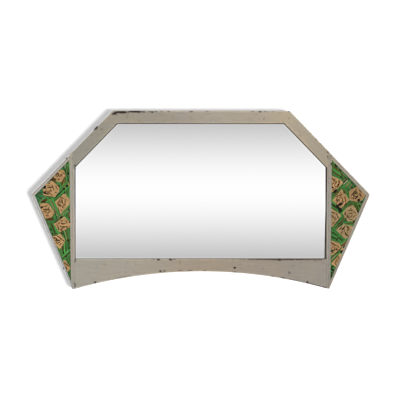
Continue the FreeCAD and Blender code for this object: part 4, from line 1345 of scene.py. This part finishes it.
wall = flat(
    "wall",
    [
        (-wall_half_width_mm, wall_y_mm, floor_level_mm),
        (wall_half_width_mm, wall_y_mm, floor_level_mm),
        (wall_half_width_mm, wall_y_mm, wall_top_mm),
        (-wall_half_width_mm, wall_y_mm, wall_top_mm),
    ],
    lifted_white("wall_white", 0.36, 0.36, True),
    ("diffuse", "glossy", "transmission", "shadow"),
)
floor = flat(
    "floor",
    [
        (-floor_half_mm, -floor_half_mm, floor_level_mm),
        (floor_half_mm, -floor_half_mm, floor_level_mm),
        (floor_half_mm, floor_half_mm, floor_level_mm),
        (-floor_half_mm, floor_half_mm, floor_level_mm),
    ],
    lifted_white("floor_white", 0.7, 0.25, False),
    ("diffuse", "glossy", "shadow"),
)


# Light: an even world, a soft window from the upper left, a weaker fill, a light on the back, which the
# photograph doesn't show, and one lamp for the wall's shadow alone
def sun(name, energy, direction, angle_deg):
    """A sun that shines along the direction."""
    data = bpy.data.lights.new(name, "SUN")
    data.energy = energy
    data.angle = math.radians(angle_deg)
    made = bpy.data.objects.new(name, data)
    bpy.context.scene.collection.objects.link(made)
    made.rotation_mode = "QUATERNION"
    made.rotation_quaternion = Vector(direction).to_track_quat("-Z", "Y")
    return made


def light_only(lamp_object, targets, name):
    group = bpy.data.collections.new(name)
    for target in targets:
        group.objects.link(target)
    lamp_object.light_linking.receiver_collection = group


window = sun("window", 1.25, (0.45, 1.0, -0.3), 30)
fill = sun("fill", 0.45, (-0.6, 1.0, 0.1), 40)
back_light = sun("back_light", 1.2, (0.0, -1.0, 0.0), 30)
shadow_lamp = sun("shadow_lamp", 7.4, (-0.765, 1.0, 0.36), 25)
lit = [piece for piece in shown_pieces() if piece.name != "mirror_glass"] + [floor]
light_only(back_light, lit, "lit_from_behind")
light_only(window, lit, "lit_by_window")
light_only(fill, lit, "lit_by_fill")
light_only(shadow_lamp, [wall], "lit_for_shadow")

# The world: paper white to the camera, even light on surfaces, and the studio's gradient in the glass. The
# gradient is brightest at a height, given as a direction's rise, and falls on both sides of it. The bevels
# at the slopes, top and bottom reflect other rises than the face does: a bevel is the span where those set
# in, and how far they are brought back. At the sides the span is of sideways directions, and what they show
# is lighter by the second number.
mirror_middle = 0.0072
mirror_fall = 49.2
mirror_reach = 0.085
mirror_power = 2.2
slope_bevel = ((0.13, 0.17), 0.16)
top_bevel = ((0.25, 0.28), 0.07)
bottom_bevel = ((-0.2, -0.15), 0.236)
side_bevel = ((0.18, 0.25), 0.04)
diffuse_level = 0.55


def studio_world():
    world = bpy.data.worlds.new("studio")
    bpy.context.scene.world = world
    world.use_nodes = True
    s = Shader("studio", world.node_tree)
    direction = s.node("ShaderNodeTexCoord").outputs["Generated"]
    dx, _, dz = s.axes(direction)

    def step_up(value, bevel):
        (low, high), amount = bevel
        return s.band(value, low, high, 0.0, amount)

    (bottom_low, bottom_high), bottom_tilt = bottom_bevel
    turned = s.math("ADD", step_up(dz, slope_bevel), step_up(dz, top_bevel))
    turned = s.math("SUBTRACT", turned, s.band(dz, bottom_low, bottom_high, bottom_tilt, 0.0))
    away = s.math("ABSOLUTE", s.math("SUBTRACT", s.math("SUBTRACT", dz, turned), mirror_middle))
    near = s.math("MINIMUM", away, mirror_reach)
    tone = s.math("DIVIDE", 1.0, s.math("MULTIPLY_ADD", s.math("MULTIPLY", near, near), mirror_fall, 1.0))
    tone = s.math("ADD", tone, step_up(s.math("ABSOLUTE", dx), side_bevel))
    tone = s.math("POWER", tone, mirror_power)
    path = s.node("ShaderNodeLightPath").outputs
    glossy = s.math("MAXIMUM", path["Is Glossy Ray"], path["Is Transmission Ray"])
    level = s.math("MULTIPLY_ADD", s.math("SUBTRACT", tone, diffuse_level), glossy, diffuse_level)
    level = s.math("MAXIMUM", level, path["Is Camera Ray"])
    sky = s.node("ShaderNodeBackground", Color=(1.0, 1.0, 1.0), Strength=level)
    s.node("ShaderNodeOutputWorld", Surface=sky.outputs[0])


studio_world()

# The picture
scene = bpy.context.scene
scene.view_settings.view_transform = "Standard"
camera_data = bpy.data.cameras.new("camera")
camera_data.lens = lens_mm
camera_data.sensor_width = sensor_mm
camera = bpy.data.objects.new("camera", camera_data)
scene.collection.objects.link(camera)
scene.camera = camera
camera.location = camera_mm * MM
camera.rotation_euler = (math.radians(90) - elevation, 0.0, azimuth)
